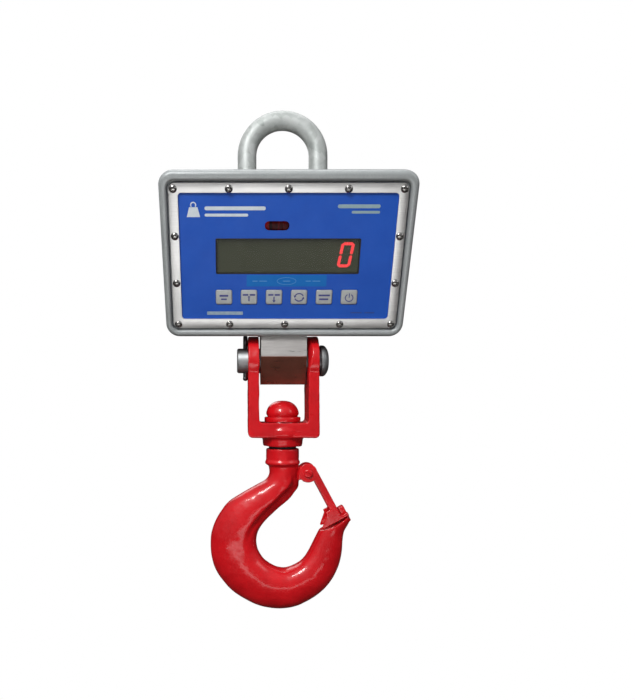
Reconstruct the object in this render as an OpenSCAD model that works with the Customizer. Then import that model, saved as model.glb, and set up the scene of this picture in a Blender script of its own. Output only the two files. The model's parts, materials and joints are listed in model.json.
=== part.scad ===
// Crane scale: shackle, load cell with a tilted display housing, yoke,
// swivel and safety hook. Millimetres, +Z up, front of the display at -Y.
// The origin is the seat in the crown of the shackle, where a lifting hook
// carries it, and everything hangs below it along the load line (the Z axis).

/* [Shackle] */
// Diameter of the round shackle bar
bar_d = 19.5; // [18.5:0.5:20]
// Diameter of the shackle pin
shackle_pin_d = 22.2; // [20:0.1:22.2]

/* [Load cell] */
// Width of the load cell bar between the shackle eyes
cell_w = 45.5; // [44:0.5:46.5]
// Depth of the load cell bar, front to back
cell_d = 44; // [42:0.5:44]

/* [Enclosure] */
// Width of the front rim of the enclosure
rim_w = 234.4; // [233:0.2:236]
// Height of the front rim, measured along the tilted face
rim_h = 156; // [154:1:157]
// Angle by which the face leans forward at the top
tilt = 23.7; // [23:0.1:24]

/* [Yoke and pin] */
// Diameter of the clevis pin
clevis_pin_d = 25.4; // [24:0.1:25.4]
// Outer width of the yoke
yoke_w = 71.2; // [70:0.2:72]
// Depth of the yoke legs, front to back
yoke_d = 44; // [40:1:46]

/* [Hook] */
// Diameter of the hook shank in the yoke
shank_d = 24; // [22:0.5:24]
// Radius of the collar under the swivel
collar_r = 16.9; // [16:0.1:17.2]

/* [Keys] */
// Distance from one key to the next
key_pitch = 24.2; // [24:0.1:25]
// How far a key travels when pressed
key_travel = 0.6; // [0.4:0.1:0.6]

/* [Hidden] */
$fn = 64;
bow_r = 26.8;            // inner radius of the bow
bow_c = bow_r + bar_d/2; // centre line radius of the bar
z_sp = -69;              // shackle pin height
z_lp = -237.5;           // clevis pin height
fit = 0.05;              // radial running clearance
face_y = -59; face_z = -144.1;  // centre of the front face
rec = 7;                 // recess behind the rim, down to the ledge
face_n = -4;             // outer surface of the blue panel
bz_w = 218; bz_top = 67; bz_bot = -69.8;   // bezel frame
bz_vc = (bz_top + bz_bot)/2; bz_h = bz_top - bz_bot;
win_w = 201; win_top = 58.1; win_bot = -60.1; // opening in the bezel
win_vc = (win_top + win_bot)/2; win_h = win_top - win_bot;
key_v = -38.7; key_u0 = -59.4; key_w = 15.6; key_h = 14.1;
lp = [25.4, -352];     // latch pivot in x and z
latch_a = 61.8;          // rest angle of the latch below horizontal
disp = [1.2, 0.5, 136.2, 33.6];     // display opening: u, v, width, height
irw = [-9.6, 28.8, 22.8, 8.4]; // infrared window: u, v, width, height
// screws through the bezel, in face coordinates
bz_screws = [for (u = [-104.7, -54.2, 0, 54.2, 104.7]) [u, 61.6], for (u = [-104.2, -54, 0, 54, 104.2]) [u, -65.6],
             [-104.5, 19.4], [-104.5, -24.8], [104.5, 19.4], [104.5, -24.8]];
// rear cover screws in x and height
rc_screws = [for (x = [-98, -33, 33, 98]) for (z = [-115.5, -199.5]) [x, z]];

// ---- helpers ----
// points of a rounded rectangle, k steps to a corner
function rr(w, h, r, k = 6) = [for (q = [0:3]) for (i = [0:k])
  let (a = 90*q + 90*i/k, sx = (q == 0 || q == 3) ? 1 : -1, sy = q < 2 ? 1 : -1)
  [sx*(w/2 - r) + r*cos(a), sy*(h/2 - r) + r*sin(a)]];
module rbox(w, h, r, t, k = 6) linear_extrude(t) polygon(rr(w, h, r, k));
// the rim narrows a little towards its lower edge
module rim(w, h, r, t) translate([0, -0.3, 0]) linear_extrude(t) polygon([for (p = rr(w, h, r, 8)) [p[0]*(1 + 0.0001*p[1]), p[1]]]);
// face frame: x across, y up the tilted face, z straight out of it
module face() translate([0, face_y, face_z]) rotate([90 + tilt, 0, 0]) children();
module cylx(r, x0, x1, z, y = 0) translate([x0, y, z]) rotate([0, 90, 0]) cylinder(r = r, h = x1 - x0);
module cyly(r, y0, y1, x, z) translate([x, y1, z]) rotate([90, 0, 0]) cylinder(r = r, h = y1 - y0);
module slab(x0, x1, y0, y1, z0, z1) translate([x0, y0, z0]) cube([x1 - x0, y1 - y0, z1 - z0]);
module ring(ro, ri, z0, z1) translate([0, 0, z0]) difference() {
  cylinder(r = ro, h = z1 - z0);
  translate([0, 0, -1]) cylinder(r = ri, h = z1 - z0 + 2);
}
// closed skin over a list of equal rings of points
module skin(rings) {
  n = len(rings[0]); m = len(rings);
  polyhedron(points = [for (r = rings) for (p = r) p],
    faces = concat([[for (j = [0:n-1]) j]], [[for (j = [n-1:-1:0]) (m-1)*n + j]],
      [for (i = [0:m-2]) for (j = [0:n-1]) [i*n + j, (i+1)*n + j, (i+1)*n + (j+1)%n]],
      [for (i = [0:m-2]) for (j = [0:n-1]) [i*n + j, (i+1)*n + (j+1)%n, i*n + (j+1)%n]]));
}
function unit(v) = v/norm(v);
// tube along a route of points
module tube(path, r, s = 8) {
  up = [0.31, 0.17, 0.93];
  skin([for (i = [0:len(path)-1])
    let (d = unit(path[min(i+1, len(path)-1)] - path[max(i-1, 0)]), a = unit(cross(up, d)), b = cross(d, a))
    [for (j = [0:s-1]) path[i] + r*(cos(-360*j/s)*a + sin(-360*j/s)*b)]]);
}
function cr(a, b, c, d, t) = 0.5*((2*b) + (c - a)*t + (2*a - 5*b + 4*c - d)*t*t + (3*b - 3*c + d - a)*t*t*t);
// smooth list through the given points, k steps between each pair
function smooth(p, k) = [for (i = [0:len(p)-2]) for (j = [0:k-1])
  cr(p[max(i-1, 0)], p[i], p[i+1], p[min(i+2, len(p)-1)], j/k), p[len(p)-1]];

// ---- shackle ----
module shackle_bow() color([0.78, 0.80, 0.79]) difference() {
  union() {
    translate([0, 0, -bow_r]) rotate([90, 0, 0]) rotate_extrude(angle = 180) translate([bow_c, 0]) circle(r = bar_d/2);
    for (s = [-1, 1]) translate([s*bow_c, 0, z_sp]) cylinder(r = bar_d/2, h = -bow_r - z_sp);
    for (s = [-1, 1]) cylx(20, s*bow_c - 10, s*bow_c + 10, z_sp);
  }
  cylx(shackle_pin_d/2 + fit, -60, 60, z_sp);
}
module shackle_pin() color([0.62, 0.63, 0.64]) difference() {
  union() {
    cylx(shackle_pin_d/2, -50, 71, z_sp);
    translate([-61, 0, z_sp]) rotate([0, 90, 0]) cylinder(r = 19.5, h = 14, $fn = 6);
  }
  translate([66.5, 0, z_sp - 20]) cylinder(r = 2.3, h = 40);
}
module shackle_nut() color([0.70, 0.71, 0.71]) difference() {
  translate([47, 0, z_sp]) rotate([0, 90, 0]) cylinder(r = 19.5, h = 15, $fn = 6);
  cylx(shackle_pin_d/2 + 0.02, 40, 70, z_sp);
}
module shackle_cotter() color([0.80, 0.80, 0.80]) union() {
  translate([66.5, 0, z_sp - 16]) cylinder(r = 2.2, h = 32);
  translate([66.5, 0, z_sp + 17.5]) rotate([90, 0, 0]) rotate_extrude() translate([3, 0]) circle(r = 1.2, $fn = 24);
}
module shackle_spacers() color([0.35, 0.36, 0.37]) for (s = [0, 1]) mirror([s, 0, 0]) difference() {
  cylx(17, cell_w/2 + 0.05, 26.2, z_sp);
  cylx(shackle_pin_d/2 + 0.08, 20, 30, z_sp);
}

// ---- load cell and how it carries the housing ----
module load_cell() color([0.74, 0.73, 0.71]) difference() {
  translate([-cell_w/2, 0, 0]) rotate([90, 0, 90]) linear_extrude(cell_w) polygon([
    [-cell_d/2, -234.8], [-5, -261.8], [5, -261.8], [cell_d/2, -234.8],
    [cell_d/2, -58], [13, -45.5], [-13, -45.5], [-cell_d/2, -58]]);
  cylx(shackle_pin_d/2 + fit, -40, 40, z_sp);
  cylx(clevis_pin_d/2 + fit, -40, 40, z_lp);
  cyly(15, -30, -12, 0, -150);
  cyly(15, 12, 30, 0, -150);
  for (z = [-168, -186]) cylx(3.1, -30, 30, z, 0);
  cylx(3, 12, 30, -136, 0);
}
module gauge_covers() color([0.80, 0.80, 0.78]) for (s = [0, 1]) mirror([0, s, 0]) cyly(14.95, -21.5, -19.5, 0, -150);
module cell_brackets() color([0.66, 0.67, 0.68]) for (s = [0, 1]) mirror([s, 0, 0]) difference() {
  union() {
    slab(cell_w/2 + 0.05, 29.5, -15, 15, -202.3, -158);
    slab(cell_w/2 + 0.05, 47, -15, 15, -202.3, -198);
  }
  for (z = [-168, -186]) cylx(3.1, 20, 35, z, 0);
  for (y = [-8, 8]) translate([39, y, -215]) cylinder(r = 3.1, h = 30);
}
module bracket_bolts() color([0.30, 0.31, 0.32]) for (s = [0, 1]) mirror([s, 0, 0]) {
  for (z = [-168, -186]) union() {
    cylx(3, 8, 30, z, 0);
    cylx(5, 29.6, 35.5, z, 0);
  }
  for (y = [-8, 8]) union() {
    translate([39, y, -208.5]) cylinder(r = 3, h = 11);
    translate([39, y, -197.9]) cylinder(r = 5, h = 6);
  }
}

// ---- enclosure ----
module housing() color([0.60, 0.62, 0.62]) difference() {
  hull() {
    face() translate([0, 0, -14]) rim(rim_w, rim_h, 13, 14);
    translate([0, 34, -157.5]) rotate([90, 0, 0]) rbox(208, 97, 12, 3, 8);
  }
  difference() {
    hull() {
      face() translate([0, 0, -13]) rbox(rim_w - 10, rim_h - 10, 9, 2);
      translate([0, 32, -157.5]) rotate([90, 0, 0]) rbox(198, 88, 8, 3);
    }
    face() translate([-130, -90, -11]) cube([260, 180, 20]);
  }
  // recess for panel and bezel, opening through the ledge, rear opening
  face() translate([0, bz_vc, -rec]) rbox(bz_w + 3, bz_h + 3, 7, 9);
  face() translate([0, win_vc, -13]) rbox(win_w - 2, win_h - 2, 5, 8);
  translate([0, 40, -157.5]) rotate([90, 0, 0]) rbox(184, 74, 6, 13);
  // the load cell passes through the top and bottom walls
  slab(-cell_w/2 - 2, cell_w/2 + 2, -24.2, 24.2, -225, -75);
  for (p = bz_screws) face() translate([p[0], p[1], -10.5]) cylinder(r = 1.65, h = 6, $fn = 24);
  for (p = rc_screws) cyly(1.65, 26, 40, p[0], p[1]);
  for (s = [-1, 1]) for (y = [-8, 8]) translate([39*s, y, -215]) cylinder(r = 3.1, h = 14);
}
module cell_seals() color([0.06, 0.06, 0.06]) difference() {
  union() {
    slab(-cell_w/2 - 1.9, cell_w/2 + 1.9, -24.1, 24.1, -111, -87);
    slab(-cell_w/2 - 1.9, cell_w/2 + 1.9, -24.1, 24.1, -210.5, -202.8);
  }
  slab(-cell_w/2 - 0.05, cell_w/2 + 0.05, -cell_d/2 - 0.05, cell_d/2 + 0.05, -230, -60);
  // the top seal follows the slope of the top wall
  translate([0, 0, -94]) rotate([-20.3, 0, 0]) translate([-60, -60, 0]) cube([120, 120, 60]);
  translate([0, 0, -103]) rotate([-20.3, 0, 0]) translate([-60, -60, -40]) cube([120, 120, 40]);
}
module rear_cover() color([0.56, 0.58, 0.58]) difference() {
  union() {
    translate([0, 38.5, -157.5]) rotate([90, 0, 0]) rbox(208, 97, 12, 3.5, 8);
    for (x = [-60, 60]) slab(x - 22, x + 22, 38, 40, -159, -156);
  }
  for (p = rc_screws) cyly(1.9, 30, 45, p[0], p[1]);
}
module rear_gasket() color([0.10, 0.10, 0.10]) difference() {
  translate([0, 35, -157.5]) rotate([90, 0, 0]) rbox(206, 95, 11, 1);
  translate([0, 37, -157.5]) rotate([90, 0, 0]) rbox(184, 74, 6, 5);
  for (p = rc_screws) cyly(1.9, 30, 45, p[0], p[1]);
}
module rear_cover_screws() color([0.80, 0.80, 0.80]) for (p = rc_screws) difference() {
  union() {
    cyly(1.6, 27, 39, p[0], p[1]);
    translate([p[0], 38.55, p[1]]) rotate([-90, 0, 0]) cylinder(r1 = 3.6, r2 = 2.6, h = 2.4, $fn = 32);
  }
  slab(p[0] - 0.5, p[0] + 0.5, 39.8, 45, p[1] - 2.2, p[1] + 2.2);
  slab(p[0] - 2.2, p[0] + 2.2, 39.8, 45, p[1] - 0.5, p[1] + 0.5);
}
module front_gasket() color([0.08, 0.08, 0.08]) face() difference() {
  translate([0, bz_vc, -rec]) rbox(bz_w, bz_h, 6, 0.95);
  translate([0, win_vc, -8]) rbox(win_w - 3, win_h - 3, 5, 3);
  for (p = bz_screws) translate([p[0], p[1], -10]) cylinder(r = 1.8, h = 12, $fn = 24);
}
module front_panel() color([0.13, 0.30, 0.66]) face() difference() {
  translate([0, bz_vc, face_n - 2]) rbox(bz_w, bz_h, 6, 2);
  translate([disp[0], disp[1], -8]) rbox(disp[2], disp[3], 1.5, 8);
  translate([irw[0], irw[1], -8]) rbox(irw[2], irw[3], 3.8, 8);
  for (i = [0:5]) translate([key_u0 + i*key_pitch, key_v, -8]) rbox(key_w + 0.5, key_h + 0.5, 2, 8, 4);
  for (p = bz_screws) translate([p[0], p[1], -10]) cylinder(r = 1.8, h = 12, $fn = 24);
}
module bezel_frame() color([0.80, 0.80, 0.79]) face() difference() {
  translate([0, bz_vc, -3.95]) rbox(bz_w, bz_h, 6, 1.5);
  translate([0, win_vc, -5]) rbox(win_w, win_h, 3, 5);
  for (p = bz_screws) translate([p[0], p[1], -10]) cylinder(r = 1.8, h = 12, $fn = 24);
}
module bezel_screws() color([0.85, 0.85, 0.84]) face() for (p = bz_screws) translate([p[0], p[1], 0]) difference() {
  union() {
    translate([0, 0, -10.3]) cylinder(r = 1.6, h = 8, $fn = 24);
    translate([0, 0, -2.4]) cylinder(r1 = 3.6, r2 = 2.7, h = 1.9, $fn = 32);
  }
  translate([-2.1, -0.5, -1.4]) cube([4.2, 1, 3]);
  translate([-0.5, -2.1, -1.4]) cube([1, 4.2, 3]);
}
module display_window() color([0.24, 0.25, 0.19, 0.6]) face() translate([disp[0], disp[1], -7.7]) rbox(disp[2] + 6, disp[3] + 6, 2, 1.65);
module display_module() color([0.10, 0.10, 0.08]) face() union() {
  translate([disp[0], disp[1], -12.5]) rbox(disp[2] + 2, disp[3] + 2, 1.5, 4.2);
  translate([disp[0], disp[1], -13.6]) rbox(disp[2] - 6, disp[3] - 4, 1.5, 1.2);
}
// one lit digit, seven segment style with the middle bar dark
module digit_segments() color([1, 0.16, 0.18]) face() translate([56.4, 1.2, -8.2]) {
  w = 12.2; h = 23.4; t = 2.6; k = 0.16;
  // each segment is a bar with pointed ends, leaning with the digit
  for (s = [[-1, 1], [1, 1], [-1, -1], [1, -1]])
    linear_extrude(0.35) polygon([for (q = [[-t/2, 0.5], [0, 0.4], [t/2, 1.2], [t/2, h/2 - t], [0, h/2 - 1.1], [-t/2, h/2 - t]])
      let (x = s[0]*(w/2 - t/2) + q[0]*(s[1] > 0 ? 1 : 1), y = s[1]*q[1]) [x + k*y, y]]);
  for (s = [-1, 1])
    linear_extrude(0.35) polygon([for (q = [[-w/2 + t + 0.2, -t/2], [w/2 - t - 0.2, -t/2], [w/2 - t + 0.7, 0.3], [w/2 - t - 0.2, t/2], [-w/2 + t + 0.2, t/2], [-w/2 + t - 0.7, 0.3]])
      let (x = q[0], y = s*(h/2 - t/2) + q[1]) [x + k*y, y]]);
}
module infrared_window() color([0.35, 0.04, 0.07, 0.8]) face() union() {
  translate([irw[0], irw[1], -5.9]) rbox(irw[2] - 0.2, irw[3] - 0.2, 3.7, 1.6);
  translate([irw[0], irw[1], -7]) rbox(irw[2] + 3, irw[3] + 3, 5, 0.95);
}
module infrared_receiver() color([0.07, 0.07, 0.07]) face() union() {
  translate([irw[0] - 5, irw[1] - 3.5, -14.3]) cube([10, 7, 5.5]);
  translate([irw[0], irw[1], -9]) cylinder(r = 2.6, h = 1.6);
}
module main_board() color([0.07, 0.33, 0.18]) face() union() {
  translate([0, 13, -16]) difference() {
    rbox(180, 76, 3, 1.6);
    for (x = [-84, 84]) for (y = [-31, 31]) translate([x, y, -1]) cylinder(r = 1.7, h = 4, $fn = 24);
  }
  translate([-60, 32, -19]) cube([26, 14, 3.1]);
  translate([30, 30, -18.5]) cube([16, 16, 2.6]);
  translate([60, 20, -22]) cube([14, 8, 6.1]);
}
module board_standoffs() color([0.75, 0.66, 0.36]) face() for (x = [-84, 84]) for (y = [-18, 44]) difference() {
  translate([x, y, -14.35]) cylinder(r = 3, h = 8.3);
  translate([x, y, -15]) cylinder(r = 1.55, h = 6, $fn = 24);
}
module board_screws() color([0.80, 0.80, 0.80]) face() for (x = [-84, 84]) for (y = [-18, 44]) union() {
  translate([x, y, -16.2]) cylinder(r = 1.5, h = 7, $fn = 24);
  translate([x, y, -17.9]) cylinder(r = 2.8, h = 1.8);
}
module keypad_board() color([0.07, 0.33, 0.18]) face() translate([1, key_v, -9.8]) rbox(150, 18, 2, 1.6);
module switch_domes() color([0.82, 0.82, 0.80]) face() for (i = [0:5])
  translate([key_u0 + i*key_pitch, key_v, -7.58 - key_travel]) cylinder(r1 = 4, r2 = 3, h = 0.16);
module battery_block(s) translate([s*68, 8, -163]) union() {
  slab(-21.5, 21.5, -16, 16, -27, 27);
  for (x = [-10, 10]) slab(x - 3, x + 3, -3, 3, 26, 30);
}
module battery_left() color([0.12, 0.12, 0.13]) battery_block(-1);
module battery_right() color([0.12, 0.12, 0.13]) battery_block(1);
// each strap holds its pack to a foot on the rear cover
module battery_straps() color([0.70, 0.71, 0.72]) for (s = [0, 1]) mirror([s, 0, 0]) difference() {
  union() {
    slab(45, 91, -9.8, 25.6, -172, -158);
    slab(56, 80, 25, 34.9, -172, -158);
  }
  slab(46.4, 89.6, -8.1, 24.1, -190, -150);
}
// lead from the gauges to the main board
module cell_cable() color([0.09, 0.09, 0.09]) tube(smooth([[20, 0, -136], [26, 0, -136], [32, -2, -134.6],
  [37, -7, -131], [40, -14, -126], [43, -24, -119], [45, -34, -113.5], [45, -44.6, -117.3]], 2), 1.9);
module cable_plug() color([0.88, 0.87, 0.82]) face() translate([39, 17, -23.6]) cube([12, 9, 7.3]);

// ---- keys ----
module key_cap(i) color([0.70, 0.72, 0.74]) face() translate([key_u0 + i*key_pitch, key_v, 0]) union() {
  translate([0, 0, -6.8]) rbox(key_w, key_h, 1.8, 3.6, 4);
  translate([0, 0, -7.2]) rbox(key_w + 2.4, key_h + 2.4, 2.4, 1, 4);
}
module key_hold() key_cap(0);
module key_net_gross() key_cap(1);
module key_tare() key_cap(2);
module key_cycle() key_cap(3);
module key_units() key_cap(4);
module key_power() key_cap(5);

// ---- yoke ----
module yoke() color([0.76, 0.10, 0.13]) difference() {
  union() {
    for (s = [0, 1]) mirror([s, 0, 0]) {
      cylx(25, yoke_w/2 - 11, yoke_w/2, z_lp);
      slab(yoke_w/2 - 11, yoke_w/2, -yoke_d/2, yoke_d/2, -311, z_lp);
      cyly(4.6, -yoke_d/2, yoke_d/2, yoke_w/2 - 4.6, -311);
      // fillet in the corner of the window
      difference() {
        slab(yoke_w/2 - 14.4, yoke_w/2 - 10.5, -yoke_d/2, yoke_d/2, -301, -297.2);
        cyly(3.4, -30, 30, yoke_w/2 - 14.4, -297.2);
      }
    }
    slab(-yoke_w/2 + 4.6, yoke_w/2 - 4.6, -yoke_d/2, yoke_d/2, -315.6, -300.6);
    translate([0, 0, -324.8]) cylinder(r = 20, h = 12);
    translate([0, 0, -319.4]) cylinder(r1 = 20, r2 = 22, h = 5);
  }
  cylx(clevis_pin_d/2 + fit, -50, 50, z_lp);
  translate([0, 0, -330]) cylinder(r = shank_d/2 + fit, h = 40);
  translate([0, 0, -308.6]) cylinder(r = 17.4, h = 10);
  // the inner front edge of the right ear is relieved towards the top
  polyhedron(points = [[24, -27, -258], [24, -27, -208], [34.2, -27, -208], [24, -3, -208]],
    faces = [[0, 1, 2], [0, 3, 1], [1, 3, 2], [0, 2, 3]]);
}
module clevis_pin() color([0.60, 0.61, 0.62]) difference() {
  union() {
    cylx(clevis_pin_d/2, -46.8, 40, z_lp);
    cylx(16, 38.3, 43, z_lp);
    translate([42.9, 0, z_lp]) rotate([0, 90, 0]) cylinder(r1 = 16, r2 = 9, h = 4.4);
  }
  translate([-38.2, 0, z_lp - 20]) cylinder(r = 2.3, h = 40);
}
module clevis_cotter() color([0.35, 0.36, 0.37]) union() {
  translate([-38.2, 0, z_lp - 19.5]) cylinder(r = 2.1, h = 37);
  translate([-38.2, 0, z_lp + 19]) rotate([0, 0, 90]) rotate([90, 0, 0]) rotate_extrude() translate([3.4, 0]) circle(r = 1.3, $fn = 24);
}
module clevis_washer() color([0.45, 0.46, 0.47]) difference() {
  cylx(15.5, yoke_w/2 + 0.1, 38.1, z_lp);
  cylx(clevis_pin_d/2 + 0.1, 30, 40, z_lp);
}
module bearing_lower_race() color([0.62, 0.62, 0.64]) ring(17.2, 12.4, -308.5, -306.9);
module bearing_balls() color([0.80, 0.80, 0.82]) for (i = [0:11]) rotate([0, 0, 30*i]) translate([14.8, 0, -304.5]) sphere(r = 2.2, $fn = 24);
module bearing_upper_race() color([0.62, 0.62, 0.64]) ring(17.1, 12.1, -302.1, -300.5);
module swivel_washer() color([0.74, 0.10, 0.13]) ring(18.5, 12.06, -300.4, -294.95);

// ---- hook ----
// stations along the hook: outer x, outer z, inner x, inner z, half thickness
st = [[-14.6, -342, 15.6, -342, 15], [-13.9, -347, 15.8, -347, 14.8], [-13.9, -353.5, 16, -354, 14.6], [-18, -360, 16.8, -362, 14.6],
  [-29, -366, 16.2, -367.5, 15], [-43, -374, 12.5, -372.5, 15.4], [-55, -382, 7, -379.5, 16], [-63, -391.5, -2.5, -387.5, 16.4],
  [-69, -402, -11, -395, 16.6], [-73, -413, -19, -403, 16.8], [-74, -424.5, -25, -412, 17], [-73.4, -436, -27, -421.5, 17],
  [-70.4, -448, -25.5, -430.5, 17], [-64, -459.5, -21, -439, 17], [-54, -471, -14.5, -445, 17], [-41, -480.5, -7.5, -449, 17],
  [-25, -488, -1, -450.6, 17], [-6, -491.5, 4, -450.5, 16.8], [12, -489.5, 10, -448.5, 16.4], [28, -482.5, 16.5, -445, 15.8],
  [41, -473, 22, -440, 15], [51, -461, 26.5, -433.5, 14.2], [57.5, -448, 30, -426.5, 13.4], [60.5, -435, 33.5, -419.5, 12.6],
  [61.5, -423, 37, -412.5, 12], [63, -413, 40.5, -406, 11.8], [67, -406, 43.6, -400, 11.6], [69.2, -400.5, 47, -394, 11.2], [67.6, -394.5, 53, -390.5, 10.4]];
ns = 18;
function section(s) = let (c = [(s[0]+s[2])/2, (s[1]+s[3])/2], d = [s[0]-s[2], s[1]-s[3]]/2)
  [for (j = [0:ns-1]) let (a = 360*j/ns, u = cos(a), w = sin(a), k = 1 - 0.10*u)
    [c[0] + d[0]*u, s[4]*sign(w)*pow(abs(w), 0.86)/k*0.98, c[1] + d[1]*u]];
module hook() color([0.78, 0.10, 0.13]) difference() {
  union() {
    difference() {
      skin([for (s = smooth(st, 2)) section(s)]);
      // the end of the tip is hollowed to the sweep of the latch
      intersection() {
        cyly(60.4, -20, 20, lp[0], lp[1]);
        slab(36, 80, -18, 18, -412, -380);
      }
    }
    rotate_extrude() polygon([[0, -345], [12, -345], [17.9, -342.2], [17.6, -340.5], [16.3, -338.6], [collar_r, -337.4], [collar_r, -328], [16.2, -327.3],
      [shank_d/2, -327.3], [shank_d/2, -295.4], [11.2, -294.9], [10, -294.9], [10, -286], [9, -285], [0, -285]]);
    cyly(8.2, -5.5, 5.5, lp[0], lp[1]);
    slab(6, lp[0] - 1, -5.2, 5.2, lp[1] - 7, lp[1] + 6.4);
    // stop lug on the tip, which the latch closes against
    translate([lp[0], 0, lp[1]]) rotate([0, latch_a, 0]) slab(47.2, 64, -5, 5, 9.9, 16);
  }
  cyly(3.02, -10, 10, lp[0], lp[1]);
  cyly(2.02, -20, 20, 0, -290.5);
}
module swivel_nut() color([0.70, 0.08, 0.11]) difference() {
  rotate_extrude() polygon([[0, -278.4], [4.4, -278.7], [8.4, -279.7], [11.6, -281.5], [14.2, -284.3], [16, -287.4],
    [16.8, -290.4], [16.6, -292.9], [15.8, -294.85], [0, -294.85]]);
  translate([0, 0, -300]) cylinder(r = 10.05, h = 15.3);
  cyly(2.02, -20, 20, 0, -290.5);
}
module nut_lock_pin() color([0.55, 0.55, 0.56]) cyly(2, -15.9, 15.9, 0, -290.5);
module swivel_seal() color([0.05, 0.05, 0.05]) ring(14, 12.05, -327.2, -324.8);

// ---- latch ----
module latch() color([0.78, 0.10, 0.13]) translate([lp[0], 0, lp[1]]) rotate([0, latch_a, 0]) difference() {
  union() {
    for (s = [0, 1]) mirror([0, s, 0]) {
      cyly(9.5, 8.2, 10.4, 0, 0);
      slab(0, 54, 8.2, 10.4, 1.9, 9.3);
      // toe, with a tine beside the stop lug
      slab(43.5, 57.3, 8.2, 10.4, -3.6, 6);
      slab(53.8, 57.3, 5.6, 10.4, -3.6, 16.6);
    }
    slab(14, 54, -10.2, 10.2, 7.2, 9.3);
  }
  cyly(3.05, -20, 20, 0, 0);
}
module latch_bolt() color([0.72, 0.09, 0.12]) difference() {
  union() {
    cyly(3, -11, 14.4, lp[0], lp[1]);
    cyly(4.3, -13, -10.6, lp[0], lp[1]);
  }
  translate([lp[0], 0, lp[1]]) rotate([0, 20, 0]) slab(-6, 6, -14, -12.2, -0.5, 0.5);
}
module latch_nut() color([0.70, 0.10, 0.13]) difference() {
  translate([lp[0], 13.6, lp[1]]) rotate([90, 0, 0]) cylinder(r = 5.8, h = 3, $fn = 6);
  cyly(3.01, 5, 16, lp[0], lp[1]);
}
// two coils of the return spring round the bolt, one each side of the ear, with a leg on the neck
module latch_spring() color([0.55, 0.56, 0.58]) for (s = [0, 1]) mirror([0, s, 0]) union() {
  for (y = [6.35, 7.35]) translate([lp[0], y, lp[1]]) rotate([90, 0, 0]) rotate_extrude() translate([5.2, 0]) circle(r = 0.55, $fn = 16);
  slab(lp[0] - 4.9, lp[0] - 4.1, 6, 6.8, lp[1] - 9, lp[1] + 3);
}

shackle_bow();
shackle_pin();
shackle_nut();
shackle_cotter();
shackle_spacers();
load_cell();
gauge_covers();
cell_brackets();
bracket_bolts();
housing();
cell_seals();
rear_cover();
rear_gasket();
rear_cover_screws();
front_panel();
front_gasket();
bezel_frame();
bezel_screws();
display_window();
display_module();
digit_segments();
infrared_window();
infrared_receiver();
main_board();
board_standoffs();
board_screws();
keypad_board();
switch_domes();
battery_left();
battery_right();
battery_straps();
cell_cable();
cable_plug();
key_hold();
key_net_gross();
key_tare();
key_cycle();
key_units();
key_power();
yoke();
clevis_pin();
clevis_cotter();
clevis_washer();
bearing_lower_race();
bearing_balls();
bearing_upper_race();
swivel_washer();
hook();
swivel_nut();
nut_lock_pin();
swivel_seal();
latch();
latch_bolt();
latch_nut();
latch_spring();
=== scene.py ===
import json
import math

import bmesh
import bpy
import numpy as np
from mathutils import Matrix, Vector

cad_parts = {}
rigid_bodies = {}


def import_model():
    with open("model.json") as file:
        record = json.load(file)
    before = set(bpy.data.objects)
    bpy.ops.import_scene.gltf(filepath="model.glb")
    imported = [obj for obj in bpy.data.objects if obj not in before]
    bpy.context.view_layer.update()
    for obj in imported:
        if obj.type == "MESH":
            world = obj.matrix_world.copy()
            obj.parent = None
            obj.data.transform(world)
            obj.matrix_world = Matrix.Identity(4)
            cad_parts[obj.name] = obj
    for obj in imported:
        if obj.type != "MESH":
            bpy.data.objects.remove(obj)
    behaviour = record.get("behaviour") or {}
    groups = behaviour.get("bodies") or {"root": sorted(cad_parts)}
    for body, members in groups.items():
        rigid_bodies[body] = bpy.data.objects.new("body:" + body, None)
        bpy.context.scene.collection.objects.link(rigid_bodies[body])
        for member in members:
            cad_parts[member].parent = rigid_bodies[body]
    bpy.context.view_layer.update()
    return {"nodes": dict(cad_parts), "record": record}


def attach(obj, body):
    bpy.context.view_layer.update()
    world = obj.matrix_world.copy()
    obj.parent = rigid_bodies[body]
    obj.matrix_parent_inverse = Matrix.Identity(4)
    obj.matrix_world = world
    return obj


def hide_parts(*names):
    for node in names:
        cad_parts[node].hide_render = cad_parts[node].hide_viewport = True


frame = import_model()
scene = bpy.context.scene
NODES = frame["nodes"]

TILT = math.radians(23.7)
CT, ST = math.cos(TILT), math.sin(TILT)
FY, FZ = -59.0, -144.1
Z_SP, Z_LP = -69.0, -237.5
LP = (25.4, -352.0)
LATCH_A = math.radians(61.8)
KEY_U0, KEY_V, KEY_PITCH = -59.4, -38.7, 24.2


# --------------------------------------------------------------- materials
def new_mat(name):
    m = bpy.data.materials.new(name)
    m.use_nodes = True
    nt = m.node_tree
    nt.nodes.clear()
    out = nt.nodes.new("ShaderNodeOutputMaterial")
    bsdf = nt.nodes.new("ShaderNodeBsdfPrincipled")
    nt.links.new(bsdf.outputs[0], out.inputs[0])
    return m, nt, bsdf


def noise(nt, scale, detail=4.0, rough=0.55, vec=None, distortion=0.0):
    n = nt.nodes.new("ShaderNodeTexNoise")
    n.inputs["Scale"].default_value = scale
    n.inputs["Detail"].default_value = detail
    n.inputs["Roughness"].default_value = rough
    n.inputs["Distortion"].default_value = distortion
    if vec is not None:
        nt.links.new(vec, n.inputs["Vector"])
    return n.outputs["Fac"]


def coords(nt, scale=(1, 1, 1), rot=(0, 0, 0)):
    tc = nt.nodes.new("ShaderNodeTexCoord")
    mp = nt.nodes.new("ShaderNodeMapping")
    mp.inputs["Scale"].default_value = scale
    mp.inputs["Rotation"].default_value = rot
    nt.links.new(tc.outputs["Object"], mp.inputs["Vector"])
    return mp.outputs["Vector"]


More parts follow.
